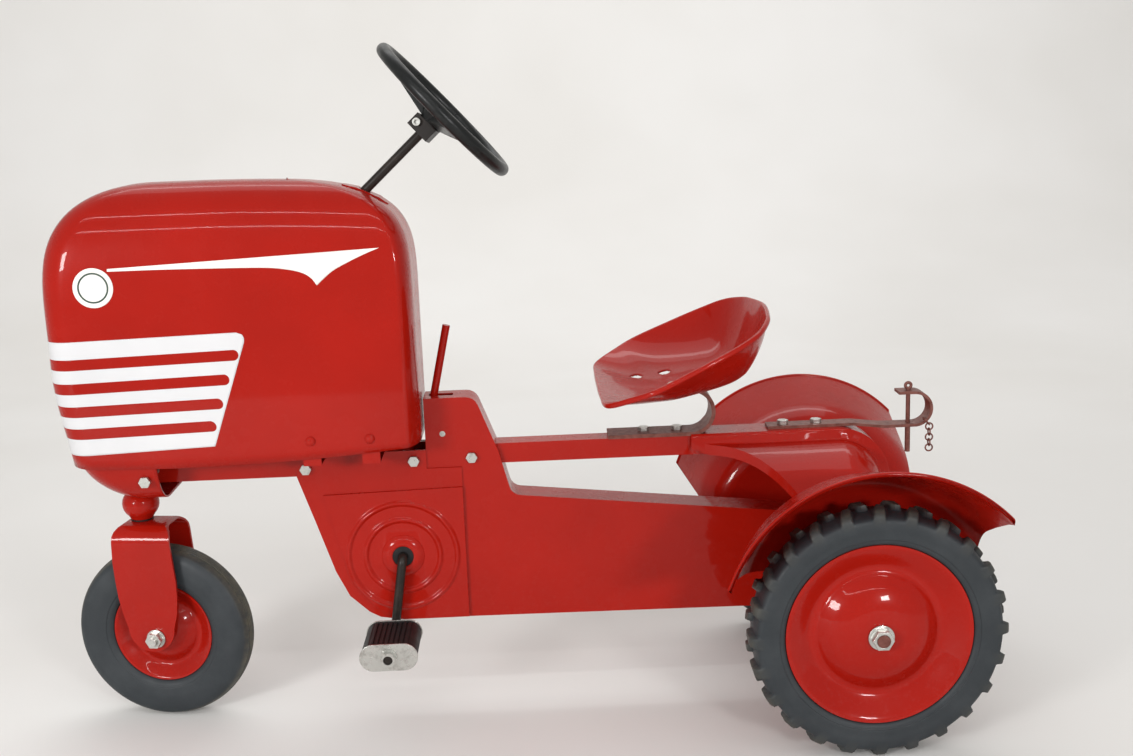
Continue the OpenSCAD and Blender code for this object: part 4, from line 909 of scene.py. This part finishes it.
    def bar_surface(self, rear: Span, nose_z: float) -> Surface:
        """One red bar round the nose, with a round end on each side.

        Args:
            rear: X and Z of the middle of the bar's round end.
            nose_z: Height of the bar's middle line at the nose.

        Returns:
            The bar.
        """
        reach = float(self.run_at(np.array(rear[0]), rear[1])) + self.bar_half
        u = np.sin(np.linspace(-math.pi / 2, math.pi / 2, 321))[None]
        v = np.linspace(-1, 1, 13)[:, None]
        run = u * reach
        to_end = np.clip((np.abs(run) - (reach - self.bar_half)) / self.bar_half, 0, 1)
        middle = nose_z + (rear[1] - nose_z) * np.abs(u)
        z = middle + v * self.bar_half * np.sqrt(1 - to_end**2)
        return Surface(self.wrapped(run + 0 * v, z, self.bar_lift))

    def spear_surface(self, side: Side) -> Surface:
        """The white spear, a sliver that widens to a hooked blade.

        Args:
            side: Left or right.

        Returns:
            The spear.
        """
        tip, blade, end = self.spear_x
        x = np.concatenate([np.linspace(tip, blade, 60), np.linspace(blade - 1, end, 120)])[None]
        top = np.interp(-x, (-tip, -end), self.spear_top)
        low_line, hook = smooth_line(self.spear_low, 12), smooth_line(self.spear_hook, 12)
        line = np.concatenate([low_line, hook[1:]])[::-1]
        low = np.minimum(np.interp(x, line[:, 0], line[:, 1]), top - 0.05)
        v = np.linspace(0, 1, 9)[:, None]
        return Surface(self.on_crown(x + 0 * v, low + (top - low) * v, side, self.field_lift))

    def disc(self, side: Side, r0: float, r1: float, lift: float) -> Surface:
        """A flat ring or disc painted near the nose.

        Args:
            side: Left or right.
            r0: Inner radius, 0 for a disc.
            r1: Outer radius.
            lift: Distance outside the hood.

        Returns:
            The disc.
        """
        r = np.linspace(max(r0, 0.01), r1, 14)[:, None]
        a = np.linspace(0, TURN, 72, endpoint=False)[None]
        x, z = self.disc_at[0] + r * np.cos(a), self.disc_at[1] + r * np.sin(a)
        return Surface(self.on_crown(x, z, side, lift), wrap_columns=True)

    def build(self) -> None:
        """Make the marks, as thin films that ride with the hood."""
        marks = (
            ("grille_field", [self.field_surface()], SILVER),
            ("grille_bars", [self.bar_surface(*bar) for bar in self.bars], RED),
            ("spears", [self.spear_surface(side) for side in Side], WHITE),
            ("discs", [self.disc(side, 0, self.disc_r, self.disc_lift) for side in Side], WHITE),
            ("disc_rings", [self.disc(side, *self.ring_r, self.ring_lift) for side in Side], RING),
        )
        for name, surfaces, finish in marks:
            self.maker.piece(name, surfaces, finish, [], "frame", 60, self.film, 0.0)


@dataclass
class NosePan:
    """The boat shaped floor under the nose, as level rings that widen upward."""

    maker: Maker
    rear_x: float = 700.0
    nose_x: float = 785.5
    keel_back: float = 40.0
    low_z: float = 248.0
    lip_z: float = 304.0
    keel: float = 22.0
    top: float = 62.5
    bulge: float = 2.2
    corner: Span = (30.0, 34.0)
    corner_room: float = 2.0
    spacing: float = 1.4
    sheet: float = 1.6

    def build(self) -> None:
        """Make the pan from its keel up, open at the rear."""
        s = np.linspace(0, 1, 26)[:, None] ** self.spacing
        w = self.keel + (self.top - self.keel) * (1 - (1 - s) ** self.bulge) ** (1 / self.bulge)
        xf = self.nose_x - self.keel_back * (1 - s) ** 2
        rf, wf = (np.minimum(r, w - self.corner_room) for r in self.corner)
        b = np.linspace(math.pi / 2, 0, 20)[None]
        t = np.linspace(0, 1, 12)[None, :-1]
        q = np.linspace(1, 0, 6)[None, 1:]
        x = np.concatenate([self.rear_x + (xf - rf - self.rear_x) * t, xf - rf + rf * np.cos(b),
                            xf + 0 * q], 1)
        y = np.concatenate([w + 0 * t, w - wf + wf * np.sin(b), (w - wf) * q], 1)
        z = self.low_z + (self.lip_z - self.low_z) * s + 0 * x
        half = np.stack([x, y, z], -1)
        whole = np.concatenate([half, half[:, -2::-1] * np.array([1, -1, 1])], 1)
        floor = [whole[:1] * np.array([1, f, 1]) for f in (0.0, 0.4, 0.8)]
        shell = Surface(np.concatenate([*floor, whole]), flip=True)
        self.maker.piece("nose_pan_shell", [shell], RED, ["nose_pan"], sheet=self.sheet, angle=60)


# Wheels


@dataclass
class WheelDisc:
    """One pressed disc of a wheel, with a dome, a valley and a rolled lip."""

    line: tuple = ((12, 21.5), (24, 21), (34, 19), (45, 14.5), (54, 8.5), (59, 4.9), (64, 4.2), (69, 6),
                   (80, 12.8), (86, 16.2), (90, 17.2))
    hub_y: float = 20.0
    sheet: float = 1.6

    def profile(self, hub_r: float, scale_r: float, scale_y: float, side: Side) -> np.ndarray:
        """The closed section of the disc with its lip rolled back.

        Args:
            hub_r: Radius of the hub that the disc sits on.
            scale_r: Scale of the radii.
            scale_y: Scale of the depths.
            side: The side that the disc faces.

        Returns:
            Radius and Y of the section's points.
        """
        shape = [(hub_r, self.hub_y * scale_y)] + [(r * scale_r, y * scale_y) for r, y in self.line]
        outer = smooth_line(shape, 8)
        inner = outer - np.array([0, self.sheet])
        return np.concatenate([outer, inner[::-1]]) * np.array([1, side.value])


@dataclass
class RearWheel:
    """A lugged tyre on two pressed discs.

    The lugs lean back: their middle moves and their half width grows with the reach, which
    runs from 0 near the middle of the tread to 1 at its edge.
    """

    maker: Maker
    side: Side
    outer_r: float = 125.0
    rim_r: float = 90.0
    half_w: float = 22.0
    track: float = 162.0
    axle_z: float = 125.0
    hub_r: float = 10.0
    bore_r: float = 6.4
    hub_half: float = 20.5
    lugs: int = 24
    steps_per_lug: int = 26
    lug_middle: Span = (-2.5, 5.5)
    lug_half: Span = (4.4, 1.7)
    lug_soft: float = 1.9
    lap: float = 1.5
    lap_soft: float = 1.2
    past_edge: float = 2.5
    full_rise: float = 5.0
    wear: float = 0.55

    def sections(self) -> tuple[np.ndarray, np.ndarray]:
        """Return the whole sections of the bare carcass and of the tyre over its lugs."""
        r0, w, r = self.rim_r, self.half_w, self.outer_r
        wall = [(r0 - 17, 1.2), (r0 - 10, 8.6), (r0 - 4, 12.6), (r0 + 0.4, 14.6), (r0 + 0.9, 17.4),
                (r0 + 3, 19.3), (r0 + 6, 20.1), (r0 + 6.8, 20.9), (r0 + 12, w - 0.7), (r0 + 18, w - 0.1)]
        base = wall + [(r - 11, w - 0.7), (r - 8, w - 3), (r - 6.4, w - 7), (r - 5.6, w - 12), (r - 5, 0)]
        crown = wall + [(r - 9.5, w - 0.5), (r - 5, w - 1.6), (r - 1.6, w - 5), (r - 0.2, w - 10), (r, 0)]
        return mirrored(smooth_line(base, 6)), mirrored(smooth_line(crown, 6))

    def lug_share(self, angle: np.ndarray, y: np.ndarray) -> np.ndarray:
        """How much of a lug stands at places of the tyre, half a step apart on the two sides.

        Args:
            angle: Angles round the wheel, as a column.
            y: Distances from the tyre's middle plane, as a row.

        Returns:
            The share, from 0 in a groove to 1 on a lug.
        """
        step = TURN / self.lugs
        soft = self.lug_soft / self.outer_r
        reach = np.clip((np.abs(y) + self.lap) / (self.half_w + self.past_edge), 0, 1)
        middle, half = ((low + more * reach) / self.outer_r for low, more in
                        (self.lug_middle, self.lug_half))
        own = angle - middle - np.where(y >= 0, 0, step / 2)
        own_lug = bell((own + step / 2) % step - step / 2, half, soft)
        far = angle - self.lug_middle[0] / self.outer_r - np.where(y >= 0, step / 2, 0)
        far_lug = bell((far + step / 2) % step - step / 2, self.lug_half[0] / self.outer_r, soft)
        return np.maximum(own_lug, far_lug * bell(y, self.lap, self.lap_soft))

    def tyre(self, centre: Triple) -> Surface:
        """Return the tyre: the carcass, raised to the crown where a lug stands.

        Args:
            centre: The wheel's centre.
        """
        base, crown = self.sections()
        angle = np.linspace(0, TURN, self.lugs * self.steps_per_lug, endpoint=False)[:, None]
        share = self.lug_share(angle, crown[None, :, 1])
        rise = (crown - base)[None]
        r = base[None, :, 0] + rise[..., 0] * share
        y = base[None, :, 1] + rise[..., 1] * share
        points = np.stack([r * np.sin(angle), y * self.side.value, r * np.cos(angle)], -1)
        wear = self.wear * np.clip(rise[..., 0] / self.full_rise, 0, 1) * share
        return Surface(points + np.array(centre), wrap_rows=True, wrap_columns=True, wear=wear)

    def build(self) -> None:
        """Make the tyre and the wheel's two discs."""
        name = self.side.name.lower()
        centre = (0.0, self.track * self.side.value, self.axle_z)
        self.maker.piece(f"rear_tyre_{name}_tread", [self.tyre(centre)], TYRE, [f"rear_tyre_{name}"],
                         angle=70)
        hub = np.array([(self.hub_r, -self.hub_half), (self.hub_r, self.hub_half),
                        (self.bore_r, self.hub_half), (self.bore_r, -self.hub_half)])
        disc = WheelDisc()
        parts = [turned(disc.profile(self.hub_r, 1.0, 1.0, side), centre, 144) for side in Side]
        self.maker.piece(f"rear_wheel_{name}_discs", [*parts, turned(hub, centre, 64)], RED,
                         [f"rear_rim_{name}"], angle=50)


@dataclass
class FrontWheel:
    """A ribbed tyre on two pressed discs, turned with the fork."""

    maker: Maker
    head_x: float = 738.0
    trail: float = 15.0
    steer: float = 9.0
    outer_r: float = 94.5
    rim_r: float = 54.0
    half_w: float = 17.5
    hub_r: float = 8.5
    disc_depth: float = 0.7
    tread_half: float = 9.5
    tread_drop: float = 1.6
    tread_power: float = 2.2
    grooves_y: Triple = (0.0, 3.0, 6.0)
    groove_half: float = 0.6
    groove_soft: float = 0.7
    groove: float = 1.4
    wear: float = 0.9
    wear_band: Span = (5.0, 4.0)

    def steered(self, surface: Surface) -> Surface:
        """Turn a surface that is drawn straight ahead about the fork's pivot.

        Args:
            surface: The surface about the wheel's own centre.

        Returns:
            The surface in its place.
        """
        a = -math.radians(self.steer)
        turn = np.array([[math.cos(a), -math.sin(a), 0], [math.sin(a), math.cos(a), 0], [0, 0, 1]])
        ahead = surface.points + np.array([-self.trail, 0, self.outer_r])
        surface.points = ahead @ turn.T + np.array([self.head_x, 0, 0])
        return surface

    def tyre(self) -> Surface:
        """Return the tyre with five grooves round its tread."""
        r0, w, r = self.rim_r, self.half_w, self.outer_r
        half = smooth_line([(r0 - 11, 1), (r0 - 6, 4.6), (r0 - 2.4, 8.6), (r0 + 0.5, 9.6),
                            (r0 + 0.8, 12.4), (r0 + 4, 15), (r0 + 7, 15.9), (r0 + 8, 16.5),
                            (r0 + 13, w - 0.4), (r0 + 20, w), (r - 10, w - 0.8), (r - 4, w - 4),
                            (r - self.tread_drop, self.tread_half)], 6)
        y = np.linspace(self.tread_half, 0, 70)[1:]
        tread = r - self.tread_drop * (y / self.tread_half) ** self.tread_power
        cuts = [bell(y - at, self.groove_half, self.groove_soft) for at in self.grooves_y]
        whole = mirrored(np.concatenate([half, np.stack([tread - self.groove * np.max(cuts, 0), y], -1)]))
        depth, run = self.wear_band
        wear = self.wear * np.clip((whole[:, 0] - (r - depth)) / run, 0, 1)
        return turned(whole, (0, 0, 0), 160, wear=wear)

    def build(self) -> None:
        """Make the tyre and both discs."""
        self.maker.piece("front_tyre_ribbed", [self.steered(self.tyre())], TYRE, ["front_tyre"], angle=60)
        disc = WheelDisc()
        scale = self.rim_r / disc.line[-1][0]
        profiles = [disc.profile(self.hub_r, scale, self.disc_depth, side) for side in Side]
        parts = [self.steered(turned(profile, (0, 0, 0), 128)) for profile in profiles]
        self.maker.piece("front_wheel_discs", parts, RED, ["front_rim_left", "front_rim_right"], angle=50)


# Fenders, seat and pressed rings


@dataclass
class Fender:
    """A dished shield round the rear tyre, with a rolled lip.

    Outline holds X and Z of the rear and low end, and then of three points of the front edge.
    Sweep holds the first and last angle that is searched for metal, and the steps. Circles
    that meet none get the angle no_metal as their first and its negative as their last.
    """

    maker: Maker
    side: Side
    centre: Span = (2.0, 140.0)
    lip_r: float = 156.0
    lip_back: float = 1.2
    roll_r: float = 2.2
    in_y: float = 106.0
    out_y: float = 218.0
    low_r: float = 104.0
    plate_r: float = 24.0
    bend: Span = (36.7, 71.4)
    bend_from: float = 27.0
    sheet: float = 1.6
    sweep: Triple = (-30, 210, 2401)
    no_metal: float = 9.0
    outline: tuple = ((-112, 168), (180, 226), (150, 192), (128, 168))

    def section(self) -> np.ndarray:
        """Return the closed section: lip, leaning wall, round corner and inner plate."""
        a = np.radians(np.linspace(self.bend_from, 90, 26))
        bend = np.stack([self.low_r + self.bend[0] * np.cos(a),
                         self.in_y + self.bend[1] * (1 - np.sin(a))], -1)
        start = np.array([self.lip_r, self.out_y])
        t = np.linspace(0, 1, 14)[:, None]
        wall = start + (bend[0] - start) * t[:-1]
        plate = np.stack([np.linspace(self.low_r, self.plate_r, 10), np.full(10, self.in_y)], -1)[1:]
        run = np.concatenate([wall, bend, plate])
        slope = np.gradient(run, axis=0)
        slope /= np.linalg.norm(slope, axis=1, keepdims=True)
        inner = run + self.sheet * np.stack([slope[:, 1], -slope[:, 0]], -1)
        roll = np.radians(np.linspace(60, -215, 14))
        middle = np.array([self.lip_r - self.lip_back, self.out_y - self.roll_r])
        lip = middle + self.roll_r * np.stack([np.cos(roll), np.sin(roll)], -1)
        return np.concatenate([run, inner[:2:-1], lip[::-1]])

    def span(self, r: np.ndarray) -> tuple[np.ndarray, np.ndarray]:
        """The first and last angle at which circles about the fender's centre are metal.

        Args:
            r: Radius of each circle.

        Returns:
            The first angle, in front, and the last, behind, for each radius.
        """
        a = np.radians(np.linspace(*self.sweep))[None]
        x = self.centre[0] + r[:, None] * np.cos(a)
        z = self.centre[1] + r[:, None] * np.sin(a)
        (rear_x, low_z), *edge = self.outline
        front = np.interp(z, [point[1] for point in edge[::-1]], [point[0] for point in edge[::-1]])
        inside = (x > rear_x) & (z > low_z) & (x < front)
        return np.where(inside, a, self.no_metal).min(1), np.where(inside, a, -self.no_metal).max(1)

    def build(self) -> None:
        """Make the fender."""
        r, y = self.section().T
        first, last = self.span(r)
        u = np.linspace(0, 1, 120)[:, None]
        a = first[None] + (last - first)[None] * u
        x = self.centre[0] + r * np.cos(a)
        z = self.centre[1] + r * np.sin(a)
        points = np.stack([x, y * self.side.value + 0 * a, z], -1)
        name = self.side.name.lower()
        self.maker.piece(f"fender_{name}_shield", [Surface(points, wrap_columns=True, close_ends=True)],
                         RED, [f"fender_{name}"], angle=50)


@dataclass
class Seat:
    """The dished pan with two rows of holes and a rolled rim.

    Line holds the angle and radius of points of the rim's left half, seen square to it. Dish
    holds the share of the depth at the front, what each millimetre adds, and the most.
    """

    maker: Maker
    front: Span = (255.0, 344.0)
    tilt: float = 24.7
    length: float = 193.0
    middle_at: float = 0.44
    depth: float = 52.0
    dish: Triple = (0.42, 0.0052, 1.15)
    rim_at: float = 0.978
    roll_r: float = 2.9
    roll_steps: int = 12
    rim_band: float = 0.9
    holes: tuple = ((207.5, 58.0), (177.0, 60.0))
    hole_r: float = 6.5
    snap: float = 1.1
    sheet: float = 2.0
    line: tuple = ((0, 108), (23, 113), (39, 125), (55, 138.5), (69, 138.5), (87, 138), (102, 144),
                   (113, 139.5), (128, 132), (145, 103.5), (180, 85))

    def outline(self) -> np.ndarray:
        """Return the rim seen square to it, as evenly spaced points round a smooth curve."""
        a, r = np.radians([p[0] for p in self.line]), np.array([p[1] for p in self.line])
        half = np.stack([r * np.cos(a), r * np.sin(a)], -1)
        loop = np.concatenate([half, half[-2:0:-1] * np.array([1, -1])])
        lap, fine = 3, 24
        lapped = smooth_line(np.concatenate([loop[-lap:], loop, loop[:lap + 1]]), fine)
        lapped = lapped[lap * fine:-lap * fine]
        steps = np.concatenate([[0], np.cumsum(np.linalg.norm(np.diff(lapped, axis=0), axis=1))])
        even = np.linspace(0, steps[-1], 200, endpoint=False)
        return np.stack([np.interp(even, steps, lapped[:, i]) for i in (0, 1)], -1)

    def rings(self) -> np.ndarray:
        """Return the pan's rings, from the rolled rim in to its middle."""
        outline = self.outline()[None]
        out = outline / np.linalg.norm(outline, axis=-1, keepdims=True)
        n = self.roll_steps
        roll = np.radians(np.linspace(200, 0, n))[:, None]
        f = np.concatenate([np.full(n, self.rim_at), np.linspace(self.rim_at, self.rim_band, 8)[1:],
                            np.linspace(self.rim_band, 0, 60)[1:]])[:, None]
        push, drop = np.zeros_like(f), np.zeros_like(f)
        push[:n] = self.roll_r * np.sin(roll)
        drop[:n] = self.roll_r * (1 - np.cos(roll))
        u = self.length * self.middle_at + outline[..., 0] * f + push * out[..., 0]
        v = outline[..., 1] * f + push * out[..., 1]
        share, slope, most = self.dish
        low = self.depth * np.minimum(most, share + slope * u) * (1 - f**3) + drop
        c, s = math.cos(math.radians(self.tilt)), math.sin(math.radians(self.tilt))
        return np.stack([self.front[0] - u * c - low * s, v + 0 * low, self.front[1] + u * s - low * c], -1)

    def punch(self, points: np.ndarray, at: Span) -> np.ndarray:
        """Draw the points near a hole's edge onto it.

        Args:
            points: The pan's points, which are changed.
            at: X and Y of the hole.

        Returns:
            True for each point that lies on the edge or outside the hole.
        """
        off = points[..., :2] - np.array(at)
        far = np.maximum(np.linalg.norm(off, axis=-1), 0.01)
        near = np.abs(far - self.hole_r) < self.snap
        points[..., :2] += np.where(near, self.hole_r / far - 1, 0)[..., None] * off
        return near | (far > self.hole_r)

    def build(self) -> None:
        """Make the pan with its holes."""
        points = self.rings()
        keep = np.ones(points.shape[:2], bool)
        for x, y in self.holes:
            for side in Side:
                keep &= self.punch(points, (x, y * side.value))
        pan = Surface(points, wrap_columns=True, flip=True, keep=keep)
        self.maker.piece("seat_shell", [pan], RED, ["seat_pan"], sheet=self.sheet, angle=70)


@dataclass
class CaseRings:
    """The rings and the boss pressed into the gear case panels round the crank."""

    maker: Maker
    crank: Span = (464.0, 171.0)
    panel_y: float = 21.6
    rings: Span = (57.0, 39.0)
    ring_half: float = 4.2
    ring_rise: float = 2.3
    sunk: Span = (0.1, 0.6)
    boss: tuple = ((11.2, 3.4), (13.0, 3.8), (16.0, 3.5), (19.0, 2.2), (22.5, 0.0))

    def surfaces(self, side: Side) -> list[Surface]:
        """Return the rings and the boss of one panel.

        Args:
            side: Left or right.
        """
        found = []
        wave = np.linspace(-1, 1, 15)
        rise = self.ring_rise * (1 + np.cos(math.pi * wave)) / 2 - self.sunk[0]
        for r in self.rings:
            foot = [[r + self.ring_half, -self.sunk[1]], [r - self.ring_half, -self.sunk[1]]]
            found.append(np.concatenate([np.stack([r + self.ring_half * wave, rise], -1), foot]))
        foot = [[self.boss[-1][0], -self.sunk[1]], [self.boss[0][0], -self.sunk[1]]]
        found.append(np.concatenate([smooth_line(self.boss, 5), foot]))
        centre = (self.crank[0], 0.0, self.crank[1])
        return [turned((p + [0, self.panel_y]) * [1, side.value], centre, 144) for p in found]

    def build(self) -> None:
        """Make the rings of both panels."""
        for side in Side:
            self.maker.piece(f"case_rings_{side.name.lower()}", self.surfaces(side), RED, [], "frame", 60)


# The studio


@dataclass(frozen=True)
class Lamp:
    """One soft lamp: its place, its width and height and the point that it faces, in metres."""

    name: str
    at: Triple
    size: Span
    watts: float
    aim: Triple = (0.0, 0.0, 0.3)

    def hang(self) -> None:
        """Put the lamp in the scene."""
        data = bpy.data.lights.new(self.name, "AREA")
        data.shape = "RECTANGLE"
        data.size, data.size_y = self.size
        data.energy = self.watts
        obj = new_object(self.name, data)
        obj.location = self.at
        obj.rotation_euler = (Vector(self.aim) - Vector(self.at)).to_track_quat("-Z", "Y").to_euler()


LAMPS = (
    Lamp("near_lamp", (1.5, 1.9, 0.85), (0.5, 0.4), 27),
    Lamp("far_lamp", (-1.1, 2.3, 0.9), (0.35, 0.25), 18),
    Lamp("ceiling", (0.0, -1.5, 3.0), (3.0, 1.6), 18),
    Lamp("tube", (0.0, 1.5, 2.3), (3.0, 0.03), 7),
    Lamp("second_tube", (0.0, 2.5, 2.0), (3.0, 0.03), 7),
    Lamp("wall_lamp", (0.0, -2.0, 3.2), (4.0, 0.8), 38, (0.0, -3.5, 1.2)),
)


@dataclass
class Studio:
    """Camera, lamps, sky and the pale ground that rises behind the tractor.

    The eye is in millimetres from the rear axle. The ground is in metres: its half width,
    and Y and Z of the line that it follows from front to back.
    """

    maker: Maker
    lens: float = 42.51
    sensor: float = 36.0
    clip_start: float = 0.05
    eye: Triple = (314.8, 1364.0, 640.3)
    yaw: float = -1.25
    pitch: float = -12.02
    roll: float = -2.14
    ground_half: float = 6.0
    ground_rows: int = 60
    ground_line: tuple = ((1.7, 0.0), (1.0, 0.0), (0.0, 0.0), (-1.2, 0.0), (-2.2, 0.02), (-3.0, 0.4),
                          (-3.4, 1.4), (-3.5, 3.0), (-3.5, 4.5))
    sky: Triple = (1.0, 0.985, 0.965)
    sky_strength: float = 0.54

    def set_camera(self) -> None:
        """Set the camera where the photographer stood."""
        yaw, pitch, roll = (math.radians(v) for v in (self.yaw, self.pitch, self.roll))
        ahead = np.array([math.sin(yaw), -math.cos(yaw), 0])
        right = np.array([-math.cos(yaw), -math.sin(yaw), 0])
        up = np.array([0, 0, 1.0])
        look = ahead * math.cos(pitch) + up * math.sin(pitch)
        rise = up * math.cos(pitch) - ahead * math.sin(pitch)
        x_axis = right * math.cos(roll) + rise * math.sin(roll)
        y_axis = rise * math.cos(roll) - right * math.sin(roll)
        data = bpy.data.cameras.new("photographer")
        data.lens = self.lens
        data.sensor_width = self.sensor
        data.clip_start = self.clip_start
        cam = new_object("photographer", data)
        turn = Matrix([(x_axis[i], y_axis[i], -look[i]) for i in range(3)]).to_4x4()
        cam.matrix_world = Matrix.Translation(Vector(self.maker.placed(self.eye))) @ turn
        bpy.context.scene.camera = cam

    def lay_ground(self) -> None:
        """Make the ground, level in front and curved up to a wall behind."""
        x = np.linspace(-self.ground_half, self.ground_half, self.ground_rows)[:, None]
        line = smooth_line(self.ground_line, 8)
        points = np.stack(np.broadcast_arrays(x, line[:, 0], line[:, 1]), -1)
        mesh = bpy.data.meshes.new("ground")
        mesh.from_pydata(points.reshape(-1, 3).tolist(), [], Surface(points).faces())
        mesh.shade_smooth()
        obj = new_object("ground", mesh)
        obj.data.materials.append(GROUND.material())

    def build(self) -> None:
        """Set the camera, the ground, the lamps and the sky."""
        self.set_camera()
        self.lay_ground()
        for lamp in LAMPS:
            lamp.hang()
        world = bpy.data.worlds.new("room")
        world.use_nodes = True
        background = world.node_tree.nodes["Background"]
        background.inputs["Color"].default_value = (*self.sky, 1.0)
        background.inputs["Strength"].default_value = self.sky_strength
        bpy.context.scene.world = world
        bpy.context.scene.view_settings.view_transform = "Standard"


def main() -> None:
    """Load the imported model, dress it and set the studio."""
    logging.basicConfig(level=logging.INFO, format="%(name)s: %(message)s")
    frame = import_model()
    low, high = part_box("rear_axle")
    maker = Maker(frame, (low.x + high.x) / 2)
    hood = Hood(maker)
    parts = [hood, Stripes(maker, hood), NosePan(maker), CaseRings(maker), Group(maker, CHASSIS),
             Group(maker, FORK), FrontWheel(maker), Group(maker, STEERING), Group(maker, DRIVE),
             Seat(maker)]
    parts += [RearWheel(maker, side) for side in Side] + [Fender(maker, side) for side in Side]
    for part in parts:
        part.build()
        log.info("%s built", type(part).__name__)
    Studio(maker).build()


if __name__ == "__main__":
    main()
